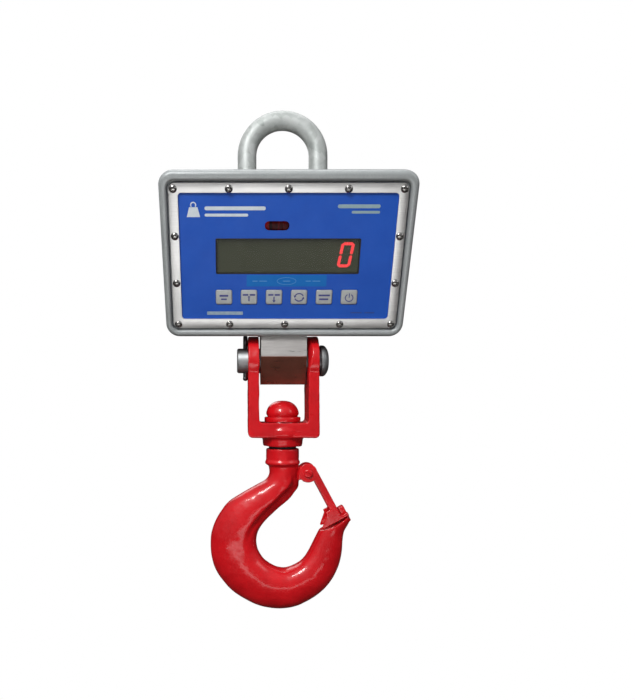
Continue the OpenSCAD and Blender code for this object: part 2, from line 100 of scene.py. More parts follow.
def ramp(nt, fac, stops):
    r = nt.nodes.new("ShaderNodeValToRGB")
    e = r.color_ramp.elements
    e[0].position, e[0].color = stops[0][0], (*stops[0][1], 1)
    e[1].position, e[1].color = stops[1][0], (*stops[1][1], 1)
    for p, c in stops[2:]:
        k = e.new(p)
        k.color = (*c, 1)
    nt.links.new(fac, r.inputs["Fac"])
    return r.outputs["Color"]


def remap(nt, fac, lo, hi, a=0.3, b=0.7):
    r = nt.nodes.new("ShaderNodeMapRange")
    r.inputs["From Min"].default_value = a
    r.inputs["From Max"].default_value = b
    r.inputs["To Min"].default_value = lo
    r.inputs["To Max"].default_value = hi
    nt.links.new(fac, r.inputs["Value"])
    return r.outputs["Result"]


def bump(nt, bsdf, layers):
    """layers: (height output, strength, distance in metres)"""
    prev = None
    for h, s, d in layers:
        b = nt.nodes.new("ShaderNodeBump")
        b.inputs["Strength"].default_value = s
        b.inputs["Distance"].default_value = d
        nt.links.new(h, b.inputs["Height"])
        if prev is not None:
            nt.links.new(prev, b.inputs["Normal"])
        prev = b.outputs["Normal"]
    nt.links.new(prev, bsdf.inputs["Normal"])


def mix_col(nt, fac, a, b):
    m = nt.nodes.new("ShaderNodeMix")
    m.data_type = "RGBA"
    nt.links.new(fac, m.inputs["Factor"])
    for val, idx in ((a, 6), (b, 7)):
        if isinstance(val, tuple):
            m.inputs[idx].default_value = (*val, 1)
        else:
            nt.links.new(val, m.inputs[idx])
    return m.outputs[2]


def mat_red():
    m, nt, b = new_mat("red_enamel")
    v = coords(nt)
    big = noise(nt, 38, 3, 0.5, v)
    mid = noise(nt, 160, 4, 0.6, v)
    fine = noise(nt, 900, 3, 0.6, v)
    tone = ramp(nt, big, [(0.30, (0.50, 0.004, 0.008)), (0.72, (0.66, 0.008, 0.013))])
    spots = ramp(nt, noise(nt, 75, 6, 0.7, v, 0.4), [(0.66, (0, 0, 0)), (0.76, (1, 1, 1))])
    nt.links.new(mix_col(nt, spots, tone, (0.34, 0.004, 0.008)), b.inputs["Base Color"])
    nt.links.new(remap(nt, mid, 0.26, 0.42), b.inputs["Roughness"])
    b.inputs["Coat Weight"].default_value = 0.55
    b.inputs["Coat Roughness"].default_value = 0.13
    b.inputs["Specular IOR Level"].default_value = 0.22
    bump(nt, b, [(big, 0.55, 0.0022), (mid, 0.35, 0.0006), (fine, 0.12, 0.00012)])
    return m


def mat_metal(name, lo, hi, r0, r1, grain=None, scale=220, bumps=0.25, dist=0.00025, blotch=60):
    """grain: object-space scale that stretches the noise along the brushing direction"""
    m, nt, b = new_mat(name)
    v = coords(nt, grain or (1, 1, 1))
    n1 = noise(nt, scale, 5, 0.65, v)
    n2 = noise(nt, blotch, 3, 0.5, coords(nt))
    c1 = ramp(nt, n1, [(0.30, lo), (0.70, hi)])
    dull = tuple(0.86 * x for x in lo)
    nt.links.new(mix_col(nt, remap(nt, n2, 0.0, 0.55), c1, dull), b.inputs["Base Color"])
    b.inputs["Metallic"].default_value = 1.0
    nt.links.new(remap(nt, n1, r0, r1), b.inputs["Roughness"])
    bump(nt, b, [(n1, bumps, dist)])
    return m


def mat_cell():
    """brushed plate: pale on its upright faces, with a painted reflection on the lower chamfer: a dark brown base
    colour stands in for the red hook and dark surroundings it reflects
    """
    m = mat_metal("stainless_brushed", (0.60, 0.575, 0.555), (0.74, 0.715, 0.69), 0.26, 0.38, (1.2, 1.2, 9), 45, 0.10, 0.00010, 22)
    nt = m.node_tree
    b = nt.nodes["Principled BSDF"]
    tc = nt.nodes.new("ShaderNodeTexCoord")
    sep = nt.nodes.new("ShaderNodeSeparateXYZ")
    nt.links.new(tc.outputs["Object"], sep.inputs[0])
    pale = b.inputs["Base Color"].links[0].from_socket
    # painted reflection: below z -0.234 m the chamfer takes a dark brown base colour and less metal, in place of the
    # reflected hook and shade
    brown = ramp(nt, noise(nt, 90, 4, 0.6, coords(nt)), [(0.3, (0.40, 0.165, 0.115)), (0.7, (0.50, 0.205, 0.145))])
    nt.links.new(mix_col(nt, remap(nt, sep.outputs["Z"], 1.0, 0.0, -0.2345, -0.2335), pale, brown), b.inputs["Base Color"])
    nt.links.new(remap(nt, sep.outputs["Z"], 0.95, 0.62, -0.2345, -0.2335), b.inputs["Metallic"])
    return m


def mat_galvanised():
    m, nt, b = new_mat("galvanised_steel")
    v = coords(nt)
    vor = nt.nodes.new("ShaderNodeTexVoronoi")
    vor.inputs["Scale"].default_value = 170
    nt.links.new(v, vor.inputs["Vector"])
    sep = nt.nodes.new("ShaderNodeSeparateColor")
    nt.links.new(vor.outputs["Color"], sep.inputs[0])
    spangle = ramp(nt, sep.outputs[0], [(0.0, (0.30, 0.325, 0.31)), (1.0, (0.44, 0.465, 0.45))])
    n = noise(nt, 60, 5, 0.6, v)
    nt.links.new(mix_col(nt, remap(nt, n, 0.0, 0.7), spangle, (0.56, 0.58, 0.57)), b.inputs["Base Color"])
    b.inputs["Metallic"].default_value = 0.35
    nt.links.new(remap(nt, noise(nt, 120, 4, 0.6, v), 0.46, 0.62), b.inputs["Roughness"])
    bump(nt, b, [(noise(nt, 90, 4, 0.55, v), 0.35, 0.0008), (noise(nt, 600, 3, 0.6, v), 0.15, 0.00012)])
    return m


def mat_cast_grey():
    m, nt, b = new_mat("cast_grey")
    v = coords(nt)
    tone = ramp(nt, noise(nt, 22, 3, 0.5, v), [(0.3, (0.270, 0.290, 0.292)), (0.72, (0.325, 0.345, 0.345))])
    speck = ramp(nt, noise(nt, 1500, 2, 0.5, v), [(0.42, (0, 0, 0)), (0.74, (1, 1, 1))])
    nt.links.new(mix_col(nt, speck, tone, (0.40, 0.42, 0.42)), b.inputs["Base Color"])
    b.inputs["Metallic"].default_value = 0.25
    nt.links.new(remap(nt, noise(nt, 140, 4, 0.6, v), 0.34, 0.48), b.inputs["Roughness"])
    bump(nt, b, [(noise(nt, 420, 4, 0.6, v), 0.32, 0.0004), (noise(nt, 45, 2, 0.5, v), 0.25, 0.0010)])
    return m


def mat_plain(name, lo, hi, r0, r1, scale=150, bumps=0.15, dist=0.0002, coat=0.0, metallic=0.0, spec=0.5):
    m, nt, b = new_mat(name)
    v = coords(nt)
    n = noise(nt, scale, 4, 0.6, v)
    nt.links.new(ramp(nt, n, [(0.3, lo), (0.7, hi)]), b.inputs["Base Color"])
    nt.links.new(remap(nt, noise(nt, scale * 1.7, 3, 0.6, v), r0, r1), b.inputs["Roughness"])
    b.inputs["Metallic"].default_value = metallic
    b.inputs["Specular IOR Level"].default_value = spec
    if coat:
        b.inputs["Coat Weight"].default_value = coat
        b.inputs["Coat Roughness"].default_value = 0.08
    bump(nt, b, [(noise(nt, scale * 3, 3, 0.6, v), bumps, dist)])
    return m


def mat_window(name, lo, hi, alpha, rough=0.12):
    m, nt, b = new_mat(name)
    n = noise(nt, 30, 2, 0.5, coords(nt))
    nt.links.new(ramp(nt, n, [(0.25, lo), (0.75, hi)]), b.inputs["Base Color"])
    nt.links.new(remap(nt, noise(nt, 300, 3, 0.6, coords(nt)), rough, rough + 0.08), b.inputs["Roughness"])
    b.inputs["Alpha"].default_value = alpha
    b.inputs["Specular IOR Level"].default_value = 0.22
    return m


def mat_infrared():
    """dark red filter: clearer at its left end, with the ribs of the receiver showing through"""
    m, nt, b = new_mat("infrared_red")
    tc = nt.nodes.new("ShaderNodeTexCoord")
    sep = nt.nodes.new("ShaderNodeSeparateXYZ")
    nt.links.new(tc.outputs["Object"], sep.inputs[0])
    along = remap(nt, sep.outputs["X"], 0.0, 1.0, -0.0210, 0.0018)
    col = ramp(nt, along, [(0.0, (0.17, 0.002, 0.004)), (0.16, (0.13, 0.002, 0.004)), (0.20, (0.006, 0.001, 0.001)), (0.27, (0.004, 0.001, 0.001)),
                           (0.33, (0.050, 0.001, 0.002)), (0.48, (0.020, 0.001, 0.001)), (0.56, (0.075, 0.001, 0.003)), (0.66, (0.022, 0.001, 0.001)), (0.80, (0.060, 0.001, 0.002)), (1.0, (0.030, 0.001, 0.001))])
    n = noise(nt, 260, 3, 0.6, coords(nt))
    nt.links.new(mix_col(nt, remap(nt, n, 0.0, 0.5), col, (0.012, 0.001, 0.001)), b.inputs["Base Color"])
    nt.links.new(remap(nt, n, 0.10, 0.20), b.inputs["Roughness"])
    b.inputs["Specular IOR Level"].default_value = 0.06
    b.inputs["Alpha"].default_value = 0.96
    return m


def mat_led():
    m, nt, b = new_mat("led_red")
    n = noise(nt, 500, 2, 0.5, coords(nt))
    nt.links.new(ramp(nt, n, [(0.2, (0.95, 0.04, 0.05)), (0.8, (1.0, 0.07, 0.08))]), b.inputs["Base Color"])
    nt.links.new(ramp(nt, n, [(0.2, (1.0, 0.020, 0.035)), (0.8, (1.0, 0.045, 0.060))]), b.inputs["Emission Color"])
    b.inputs["Emission Strength"].default_value = 2.6
    b.inputs["Roughness"].default_value = 0.4
    return m


M = {
    "red": mat_red(),
    "galv": mat_galvanised(),
    "cast": mat_cast_grey(),
    "cell": mat_cell(),
    "bezel": mat_metal("bezel_brushed", (0.66, 0.66, 0.65), (0.86, 0.86, 0.85), 0.34, 0.48, (0.6, 22, 22), 70, 0.30, 0.00014, 30),
    "screw": mat_metal("screw_steel", (0.30, 0.29, 0.28), (0.42, 0.41, 0.40), 0.16, 0.28, None, 500, 0.12, 0.0001, 90),
    "plated": mat_metal("plated_steel", (0.34, 0.355, 0.36), (0.48, 0.495, 0.50), 0.46, 0.62, None, 160, 0.25, 0.00025, 70),
    "dark": mat_metal("dark_steel", (0.11, 0.115, 0.12), (0.20, 0.205, 0.21), 0.32, 0.5, None, 200, 0.25, 0.0002, 80),
    "bearing": mat_metal("bearing_steel", (0.60, 0.60, 0.62), (0.72, 0.72, 0.74), 0.08, 0.16, None, 300, 0.05, 0.0001, 60),
    "alu": mat_metal("bracket_aluminium", (0.52, 0.53, 0.54), (0.66, 0.67, 0.68), 0.30, 0.46, (10, 1, 1), 90, 0.22, 0.00015, 40),
    "brass": mat_metal("brass_turned", (0.55, 0.38, 0.14), (0.70, 0.50, 0.20), 0.22, 0.36, (1, 1, 8), 150, 0.2, 0.0001, 60),
    "blue": mat_plain("panel_blue", (0.010, 0.074, 0.415), (0.013, 0.086, 0.455), 0.40, 0.50, 40, 0.10, 0.00012, 0.0, 0.0, 0.22),
    "strip": mat_plain("strip_blue", (0.001, 0.122, 0.420), (0.002, 0.136, 0.460), 0.40, 0.50, 60, 0.08, 0.0001, 0.0, 0.0, 0.22),
    "print": mat_plain("print_silver", (0.52, 0.58, 0.62), (0.60, 0.66, 0.69), 0.38, 0.5, 200, 0.1, 0.0001),
    "printdull": mat_plain("print_grey", (0.22, 0.33, 0.36), (0.27, 0.38, 0.41), 0.38, 0.5, 200, 0.1, 0.0001),
    "printfaint": mat_plain("print_light_blue", (0.06, 0.26, 0.52), (0.09, 0.30, 0.56), 0.38, 0.5, 200, 0.1, 0.0001),
    "label": mat_plain("label_silver", (0.20, 0.30, 0.40), (0.32, 0.40, 0.46), 0.38, 0.5, 260, 0.1, 0.0001),
    "ink": mat_plain("print_ink", (0.030, 0.034, 0.17), (0.040, 0.044, 0.21), 0.4, 0.5, 200, 0.05, 0.0001),
    "inkfaint": mat_plain("print_faint", (0.012, 0.045, 0.22), (0.014, 0.050, 0.25), 0.4, 0.5, 200, 0.05, 0.0001),
    "key": mat_plain("key_silver", (0.33, 0.345, 0.345), (0.40, 0.415, 0.41), 0.36, 0.48, 300, 0.12, 0.0001, 0.1, 0.25),
    "rubber": mat_plain("black_rubber", (0.010, 0.010, 0.010), (0.020, 0.020, 0.020), 0.55, 0.75, 200, 0.25, 0.0003),
    "black": mat_plain("black_plastic", (0.008, 0.008, 0.009), (0.016, 0.016, 0.017), 0.4, 0.55, 200, 0.15, 0.0002),
    "board": mat_plain("board_green", (0.010, 0.075, 0.030), (0.016, 0.110, 0.045), 0.3, 0.45, 120, 0.12, 0.0001, 0.2),
    "white": mat_plain("connector_white", (0.62, 0.60, 0.53), (0.70, 0.68, 0.62), 0.35, 0.45, 150, 0.1, 0.0001),
    "dispback": mat_plain("display_back", (0.052, 0.060, 0.032), (0.064, 0.072, 0.040), 0.45, 0.6, 60, 0.08, 0.0001),
    "window": mat_window("display_tint", (0.052, 0.060, 0.033), (0.066, 0.072, 0.042), 0.42, 0.20),
    "infrared": mat_infrared(),
    "led": mat_led(),
}

NODE_MAT = {
    "shackle_bow": "galv", "shackle_pin": "plated", "shackle_nut": "plated", "shackle_cotter": "dark", "shackle_spacers": "dark",
    "load_cell": "cell", "gauge_covers": "cell", "cell_brackets": "alu", "bracket_bolts": "plated", "housing": "cast",
    "cell_seals": "rubber", "rear_cover": "cast", "rear_gasket": "rubber", "rear_cover_screws": "screw", "front_panel": "blue",
    "front_gasket": "rubber", "bezel_frame": "bezel", "bezel_screws": "screw", "display_window": "window",
    "display_module": "dispback", "digit_segments": "led", "infrared_window": "infrared", "infrared_receiver": "black",
    "main_board": "board", "board_standoffs": "brass", "board_screws": "screw", "keypad_board": "board", "switch_domes": "screw",
    "battery_left": "black", "battery_right": "black", "battery_straps": "alu", "cell_cable": "rubber", "cable_plug": "white",
    "yoke": "red", "clevis_pin": "plated", "clevis_cotter": "dark", "clevis_washer": "dark", "bearing_lower_race": "bearing",
    "bearing_balls": "bearing", "bearing_upper_race": "bearing", "swivel_washer": "red", "hook": "red", "swivel_nut": "red",
    "nut_lock_pin": "dark", "swivel_seal": "rubber", "latch": "red", "latch_bolt": "red", "latch_nut": "red", "latch_spring": "plated",
}
KEYS = ["key_hold", "key_net_gross", "key_tare", "key_cycle", "key_units", "key_power"]
for k in KEYS:
    NODE_MAT[k] = "key"
for n, o in NODES.items():
    o.data.materials.clear()
    o.data.materials.append(M[NODE_MAT[n]])
BODY = {n: b for b, ns in frame["record"]["behaviour"]["bodies"].items() for n in ns}


# ------------------------------------------------------------ mesh helpers
def smooth_mesh(me, angle=32):
    for p in me.polygons:
        p.use_smooth = True
    me.set_sharp_from_angle(angle=math.radians(angle))


def add(name, verts, faces, mat, body, node=None, slot=None, angle=32, recalc=True, merge=0.0):
    """A piece from vertices in millimetres."""
    me = bpy.data.meshes.new(name)
    me.from_pydata([(x * 0.001, y * 0.001, z * 0.001) for x, y, z in verts], [], faces)
    bm = bmesh.new()
    bm.from_mesh(me)
    if merge:
        bmesh.ops.remove_doubles(bm, verts=bm.verts, dist=merge * 0.001)
    if recalc:
        bmesh.ops.recalc_face_normals(bm, faces=bm.faces)
    bm.to_mesh(me)
    bm.free()
    me.materials.append(M[mat])
    smooth_mesh(me, angle)
    ob = bpy.data.objects.new(name, me)
    scene.collection.objects.link(ob)
    finish_piece(ob, body, node)
    return ob


def finish_piece(ob, body, node=None):
    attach(ob, body)
    if node:
        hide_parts(node)


def F(u, v, n):
    """face frame to row frame, millimetres"""
    return (u, FY - v * ST - n * CT, FZ + v * CT - n * ST)


def rr(w, h, r, k=8):
    pts = []
    for q in range(4):
        sx = 1 if q in (0, 3) else -1
        sy = 1 if q < 2 else -1
        for i in range(k + 1):
            a = math.radians(90 * q + 90 * i / k)
            pts.append((sx * (w / 2 - r) + r * math.cos(a), sy * (h / 2 - r) + r * math.sin(a)))
    return pts


def loft(loops, cap0=True, cap1=True, ring=False):
    """faces over equal loops of points"""
    n = len(loops[0])
    verts = [p for lp in loops for p in lp]
    faces = []
    m = len(loops)
    for i in range(m if ring else m - 1):
        a, b = i * n, ((i + 1) % m) * n
        for j in range(n):
            k = (j + 1) % n
            faces.append((a + j, a + k, b + k, b + j))
    if not ring and cap0:
        faces.append(tuple(range(n)))
    if not ring and cap1:
        faces.append(tuple((m - 1) * n + j for j in range(n - 1, -1, -1)))
    return verts, faces


def frr(w, h, r, vc, n, uc=0.0, k=8):
    return [F(uc + x, vc + y, n) for x, y in rr(w, h, r, k)]


def merged(parts):
    verts, faces = [], []
    for v, f in parts:
        o = len(verts)
        verts += list(v)
        faces += [tuple(i + o for i in g) for g in f]
    return verts, faces


def revolve(profile, segs=64, place=lambda x, y, z: (x, y, z), close=False):
    """profile of (radius, height) turned about local z; radius 0 ends are poles"""
    verts, faces, rows = [], [], []
    for r, z in profile:
        if r < 1e-6:
            rows.append([len(verts)])
            verts.append(place(0, 0, z))
        else:
            rows.append(list(range(len(verts), len(verts) + segs)))
            for i in range(segs):
                a = 2 * math.pi * i / segs
                verts.append(place(r * math.cos(a), r * math.sin(a), z))
    pairs = list(zip(rows, rows[1:])) + ([(rows[-1], rows[0])] if close else [])
    for a, b in pairs:
        for i in range(segs):
            j = (i + 1) % segs
            if len(a) == 1 and len(b) == 1:
                continue
            if len(a) == 1:
                faces.append((a[0], b[j], b[i]))
            elif len(b) == 1:
                faces.append((a[i], a[j], b[0]))
            else:
                faces.append((a[i], a[j], b[j], b[i]))
    return verts, faces


def alongx(x0=0.0, y0=0.0, z0=0.0):
    """local z along +X"""
    return lambda x, y, z: (x0 + z, y0 + x, z0 + y)


def alongy(x0=0.0, y0=0.0, z0=0.0):
    """local z along -Y, so that a head faces the reader"""
    return lambda x, y, z: (x0 + x, y0 - z, z0 + y)


def arc(cx, cy, r, a0, a1, n):
    return [(cx + r * math.cos(math.radians(a0 + (a1 - a0) * i / n)), cy + r * math.sin(math.radians(a0 + (a1 - a0) * i / n))) for i in range(n + 1)]


def tube(path, r, segs=16, caps=True):
    """round bar along points in millimetres; the ends are rounded off"""
    P = [np.array(p, float) for p in path]
    T = [P[min(i + 1, len(P) - 1)] - P[max(i - 1, 0)] for i in range(len(P))]
    T = [t / np.linalg.norm(t) for t in T]
    up = np.array([0.3, 0.9, 0.2])
    a = np.cross(T[0], up)
    a /= np.linalg.norm(a)
    loops = []
    radii = [r] * len(P)
    if caps:
        P = [P[0] - T[0] * r * 0.55, P[0] - T[0] * r * 0.35] + P + [P[-1] + T[-1] * r * 0.35, P[-1] + T[-1] * r * 0.55]
        T = [T[0], T[0]] + T + [T[-1], T[-1]]
        radii = [r * 0.45, r * 0.82] + radii + [r * 0.82, r * 0.45]
    for p, t, q in zip(P, T, radii):
        a = a - t * np.dot(a, t)
        a /= np.linalg.norm(a)
        b = np.cross(t, a)
        loops.append([tuple(p + q * (math.cos(2 * math.pi * j / segs) * a + math.sin(2 * math.pi * j / segs) * b)) for j in range(segs)])
    return loft(loops)


def smooth_path(pts, k=6):
    P = [np.array(p, float) for p in pts]
    out = []
    for i in range(len(P) - 1):
        a, b, c, d = P[max(i - 1, 0)], P[i], P[i + 1], P[min(i + 2, len(P) - 1)]
        for j in range(k):
            t = j / k
            out.append(0.5 * ((2 * b) + (c - a) * t + (2 * a - 5 * b + 4 * c - d) * t * t + (3 * b - 3 * c + d - a) * t ** 3))
    out.append(P[-1])
    return out


def temp_object(verts, faces, name="tmp"):
    me = bpy.data.meshes.new(name)
    me.from_pydata([(x * 0.001, y * 0.001, z * 0.001) for x, y, z in verts], [], faces)
    bm = bmesh.new()
    bm.from_mesh(me)
    bmesh.ops.recalc_face_normals(bm, faces=bm.faces)
    bm.to_mesh(me)
    bm.free()
    ob = bpy.data.objects.new(name, me)
    scene.collection.objects.link(ob)
    return ob


def forge(name, parts, voxel, passes, mat, body, node, factor=0.5, cut=None, angle=60, lumps=0.0):
    """Joins closed shells into one skin and rounds every edge, as a forging's are. cut: shells taken away before the rounding."""
    shells = []
    for p in parts:
        if isinstance(p, str):
            me = NODES[p].data.copy()
            bm = bmesh.new()
            bm.from_mesh(me)
            bmesh.ops.remove_doubles(bm, verts=bm.verts, dist=1e-7)
            bm.to_mesh(me)
            bm.free()
            shells.append(me)
        else:
            t = temp_object(*p)
            shells.append(t.data)
            bpy.data.objects.remove(t)
    bm = bmesh.new()
    for me in shells:
        bm.from_mesh(me)
    me = bpy.data.meshes.new(name)
    bm.to_mesh(me)
    bm.free()
    ob = bpy.data.objects.new(name, me)
    scene.collection.objects.link(ob)
    rm = ob.modifiers.new("remesh", "REMESH")
    rm.mode = "VOXEL"
    rm.voxel_size = voxel * 0.001
    rm.use_smooth_shade = True
    cutters = []
    for c in cut or []:
        t = temp_object(*c)
        cutters.append(t)
        bo = ob.modifiers.new("cut", "BOOLEAN")
        bo.operation = "DIFFERENCE"
        bo.object = t
        bo.solver = "EXACT"
    if cut:
        r2 = ob.modifiers.new("remesh2", "REMESH")
        r2.mode = "VOXEL"
        r2.voxel_size = voxel * 0.001
    sm = ob.modifiers.new("smooth", "SMOOTH")
    sm.factor = factor
    sm.iterations = passes
    if lumps:
        # the slight unevenness of a drop forging
        tx = bpy.data.textures.new(name, "CLOUDS")
        tx.noise_scale = 0.013
        tx.noise_depth = 1
        dp = ob.modifiers.new("lumps", "DISPLACE")
        dp.texture = tx
        dp.texture_coords = "LOCAL"
        dp.mid_level = 0.5
        dp.strength = lumps * 0.001
    dg = bpy.context.evaluated_depsgraph_get()
    out = bpy.data.meshes.new_from_object(ob.evaluated_get(dg))
    ob.modifiers.clear()
    ob.data = out
    for t in cutters:
        bpy.data.objects.remove(t)
    out.materials.clear()
    out.materials.append(M[mat])
    for p in out.polygons:
        p.use_smooth = True
        p.material_index = 0
    finish_piece(ob, body, node)
    return ob


def bevel(node, width=0.3, segs=2, angle=30):
    o = NODES[node]
    b = o.modifiers.new("bevel", "BEVEL")
    b.width = width * 0.001
    b.segments = segs
    b.limit_method = "ANGLE"
    b.angle_limit = math.radians(angle)
    b.use_clamp_overlap = True
    b.harden_normals = False
    return b


# ------------------------------------------------------------------ shackle
forge("bow_forging", ["shackle_bow"], 0.9, 8, "galv", "shackle", "shackle_bow")


def bolt_head_hex(x0, x1, across, z, y=0.0, chamfer=1.2, flip=False):
    """hexagon prism along X with turned-off corners"""
    rc = across / math.sqrt(3) * 1.0
    loops = []
    segs = 48
    for x, lim in ((x0, rc - chamfer * 1.9), (x0 + chamfer * 0.55, rc - chamfer * 0.7), (x0 + chamfer, rc), (x1 - chamfer, rc), (x1 - chamfer * 0.55, rc - chamfer * 0.7), (x1, rc - chamfer * 1.9)):
        lp = []
        for i in range(segs):
            a = 2 * math.pi * i / segs
            s = (a + math.pi / 6) % (math.pi / 3) - math.pi / 6
            hexr = (across / 2) / math.cos(s)
            lp.append((x, y + min(hexr, lim) * math.cos(a), z + min(hexr, lim) * math.sin(a)))
        loops.append(lp)
    return loft(loops)


# pin with hexagon head, nut, spacers
pin = revolve([(0, -50), (11.1, -50)] + [(11.1, 67.6)] + arc(9.7, 69.6, 1.4, 0, 90, 4) + [(0, 71)], 64, alongx(0, 0, Z_SP))
head = bolt_head_hex(-61, -47, 33.8, Z_SP)
add("shackle_bolt", *merged([pin, head]), "plated", "shackle", "shackle_pin", angle=28)
nut = bolt_head_hex(47, 62, 33.8, Z_SP)
collar = revolve([(12.6, 61.6), (13.6, 61.6), (13.6, 63.4), (12.6, 63.4)], 48, alongx(0, 0, Z_SP), close=True)
add("shackle_hex_nut", *merged([nut, collar]), "plated", "shackle", "shackle_nut", angle=28)


def cotter(name, x, z, length, r, eye_r, body, node, mat="dark", top=1.0, eye_turn=0.0, spread=1.0):
    """split pin: a ring eye above, two half round legs, the ends bent apart"""
    parts = []
    h = r * 0.8
    pts = [(x, -h * 0.9, z - length), (x, -h * 0.9, z), (x, -h * 0.9, z + 2.0)]
    ring = [(x + (eye_r) * math.sin(a) * math.sin(eye_turn), -eye_r * math.sin(a) * math.cos(eye_turn), z + 2.0 + eye_r * 0.9 - eye_r * math.cos(a)) for a in np.linspace(0.45, 2 * math.pi - 0.45, 22)]
    leg2 = [(x, h * 0.9, z + 2.0), (x, h * 0.9, z), (x, h * 0.9, z - length)]
    low = z - length
    one = [(x - spread * 0.4, -2.6 * spread, low - 3.6), (x, -1.2 * spread, low - 1.8)] + pts + ring + leg2 + [(x, 1.2 * spread, low - 1.8), (x + spread * 0.4, 2.6 * spread, low - 3.6)]
    parts.append(tube(smooth_path(one, 3), h, 12))
    return add(name, *merged(parts), mat, body, node, angle=40)


cotter("shackle_split_pin", 66.5, Z_SP + 12.6, 25.4, 2.1, 3.0, "shackle", "shackle_cotter")
bevel("shackle_spacers", 0.25)

# ---------------------------------------------------------------- load cell
bevel("load_cell", 0.7, 3)
bevel("gauge_covers", 0.3)

# ------------------------------------------------------------------ housing
K = 10
vc = -1.4
RW, RH = 234.4, 156.0


def fl(w, h, r, v, n):
    return frr(w, h, r, v, n, 0.0, K)


def rl(inset, r, n):
    """loop of the rim's own outline, which narrows towards its lower edge"""
    return [F(x * (1 + 0.0001 * y), y - 0.3, n) for x, y in rr(RW - 2 * inset, RH - 2 * inset, r, K)]


def bl(w, h, r, y, zc=-157.5):
    return [(x, y, zc + z) for x, z in rr(w, h, r, K)]


def between(a, b, t, swell=0.0):
    """blend of two loops, swollen outwards a little like a cast wall"""
    c = np.mean(np.array(a) * (1 - t) + np.array(b) * t, axis=0)
    out = []
    for p, q in zip(a, b):
        m = np.array(p) * (1 - t) + np.array(q) * t
        d = m - c
        d[1] = 0
        out.append(tuple(m + swell * d / max(np.linalg.norm(d), 1e-6)))
    return out


rim = [fl(199, 116.2, 5, -1.0, -11), fl(199, 116.2, 5, -1.0, -7.4), fl(199.8, 117, 5.4, -1.0, -7.0),
       fl(220.4, 139.2, 7, vc, -7.0), fl(221, 139.8, 7, vc, -6.6), fl(221, 139.8, 7, vc, -2.4)]
# the rim's crown: a soft inner edge, a narrow flat and a fuller outer round
inner = rr(221, 139.8, 7, K)
outer = rr(RW, RH, 13, K)
for t, n in ((0.03, -1.5), (0.10, -0.75), (0.20, -0.25), (0.32, -0.02), (0.46, 0.0), (0.60, -0.08), (0.72, -0.45), (0.82, -1.05), (0.90, -1.85), (0.96, -2.8), (0.99, -3.9), (1.0, -5.2)):
    rim.append([F((a[0] * (1 - t) + b[0] * t) * (1 + 0.0001 * b[1] * t), (a[1] + vc) * (1 - t) + (b[1] - 0.3) * t, n) for a, b in zip(inner, outer)])
rim += [rl(0, 13, -10)]
front_edge = rl(0.2, 13, -14)
back_edge = bl(208, 97, 12, 31.2)
walls = [front_edge] + [between(front_edge, back_edge, t, s) for t, s in ((0.12, 0.1), (0.3, 0.3), (0.5, 0.4), (0.7, 0.3), (0.88, 0.1))] + [back_edge]
rear = [bl(207.7, 96.7, 12, 32.4), bl(206.6, 95.6, 11.5, 33.4), bl(204.8, 93.8, 10.8, 34.0), bl(184, 74, 6, 34.0), bl(184, 74, 6, 31.4)]
inside = [bl(198, 88, 8, 31.0), bl(197.6, 87.6, 8, 29), between(bl(197.6, 87.6, 8, 29), fl(226, 144, 9, 0, -14), 0.5), fl(226, 144, 9, 0, -14), fl(225, 143, 9, 0, -11.2)]
hv, hf = loft(rim + walls + rear + inside, ring=True)
house = temp_object(hv, hf, "housing_casting")
cutter = temp_object(*loft([[(x * 1.0, y * 1.0, z) for x, y in rr(50.5, 48.4, 3, 4)] for z in (-226, -74)]), "cutter")
bo = house.modifiers.new("cut", "BOOLEAN")
bo.operation = "DIFFERENCE"
bo.object = cutter
bo.solver = "EXACT"
dg = bpy.context.evaluated_depsgraph_get()
me = bpy.data.meshes.new_from_object(house.evaluated_get(dg))
house.modifiers.clear()
house.data = me
bpy.data.objects.remove(cutter)
me.materials.clear()
me.materials.append(M["cast"])
for p in me.polygons:
    p.material_index = 0
smooth_mesh(me, 34)
finish_piece(house, "scale_body", "housing")

# rear cover: a cast plate with a raised field, round edges and a recessed border
cov = [bl(207, 96, 12, 35.05), bl(208, 97, 12, 35.5), bl(208, 97, 12, 37.4), bl(207.4, 96.4, 11.8, 38.1), bl(206, 95, 11.4, 38.5),
       bl(188, 78, 8, 38.5), bl(187, 77, 7.6, 38.9), bl(185.5, 75.5, 7, 39.6), bl(184, 74, 6.4, 39.9)]
ribs = []
for i in range(7):
    x = -66 + 22 * i
    ribs.append(loft([[(x + a, y, -157.5 + b) for a, b in rr(w, h, min(w, h) / 2 - 0.01, 5)] for w, h, y in ((3.4, 44, 39.6), (3.2, 43.8, 40.4), (2.2, 42.8, 40.9))]))
add("rear_plate", *merged([loft(cov)] + ribs), "cast", "scale_body", "rear_cover", angle=30)


def screw_head(place, r=3.65):
    """dome from rings fine enough to hold a cross recess"""
    rings = [(0.0, 0)] + [(r * q, 0) for q in (0.06, 0.12, 0.19, 0.27, 0.36, 0.45, 0.52, 0.60, 0.70, 0.80, 0.88, 0.94, 0.98, 1.0)]
    prof = []
    for q, _ in rings:
        t = q / r
        prof.append((q, 2.3 * math.sqrt(max(0.0, 1 - 0.93 * t * t)) if t < 1 else 0.35))
    prof.append((r, -0.1))
    prof.append((r * 0.9, -0.3))
    prof.append((0, -0.3))
    verts, faces = revolve(prof, 40)
    out = []
    top = len(verts) - 41 - 40
    for i, (x, y, z) in enumerate(verts):
        rad = math.hypot(x, y)
        d = min(abs(x), abs(y))
        if z > 0.9 and rad < r * 0.50:
            w = 0.30 + 0.10 * (1 - rad / r)
            if d < w:
                z -= 0.55 * min(1.0, (r * 0.52 - rad) / (r * 0.2))
        out.append((x, y, z))
    return [place(*p) for p in out], faces


def face_place(u, v, n, turn=0.0):
    c, s = math.cos(turn), math.sin(turn)
    return lambda x, y, z: F(u + c * x - s * y, v + s * x + c * y, n + z)


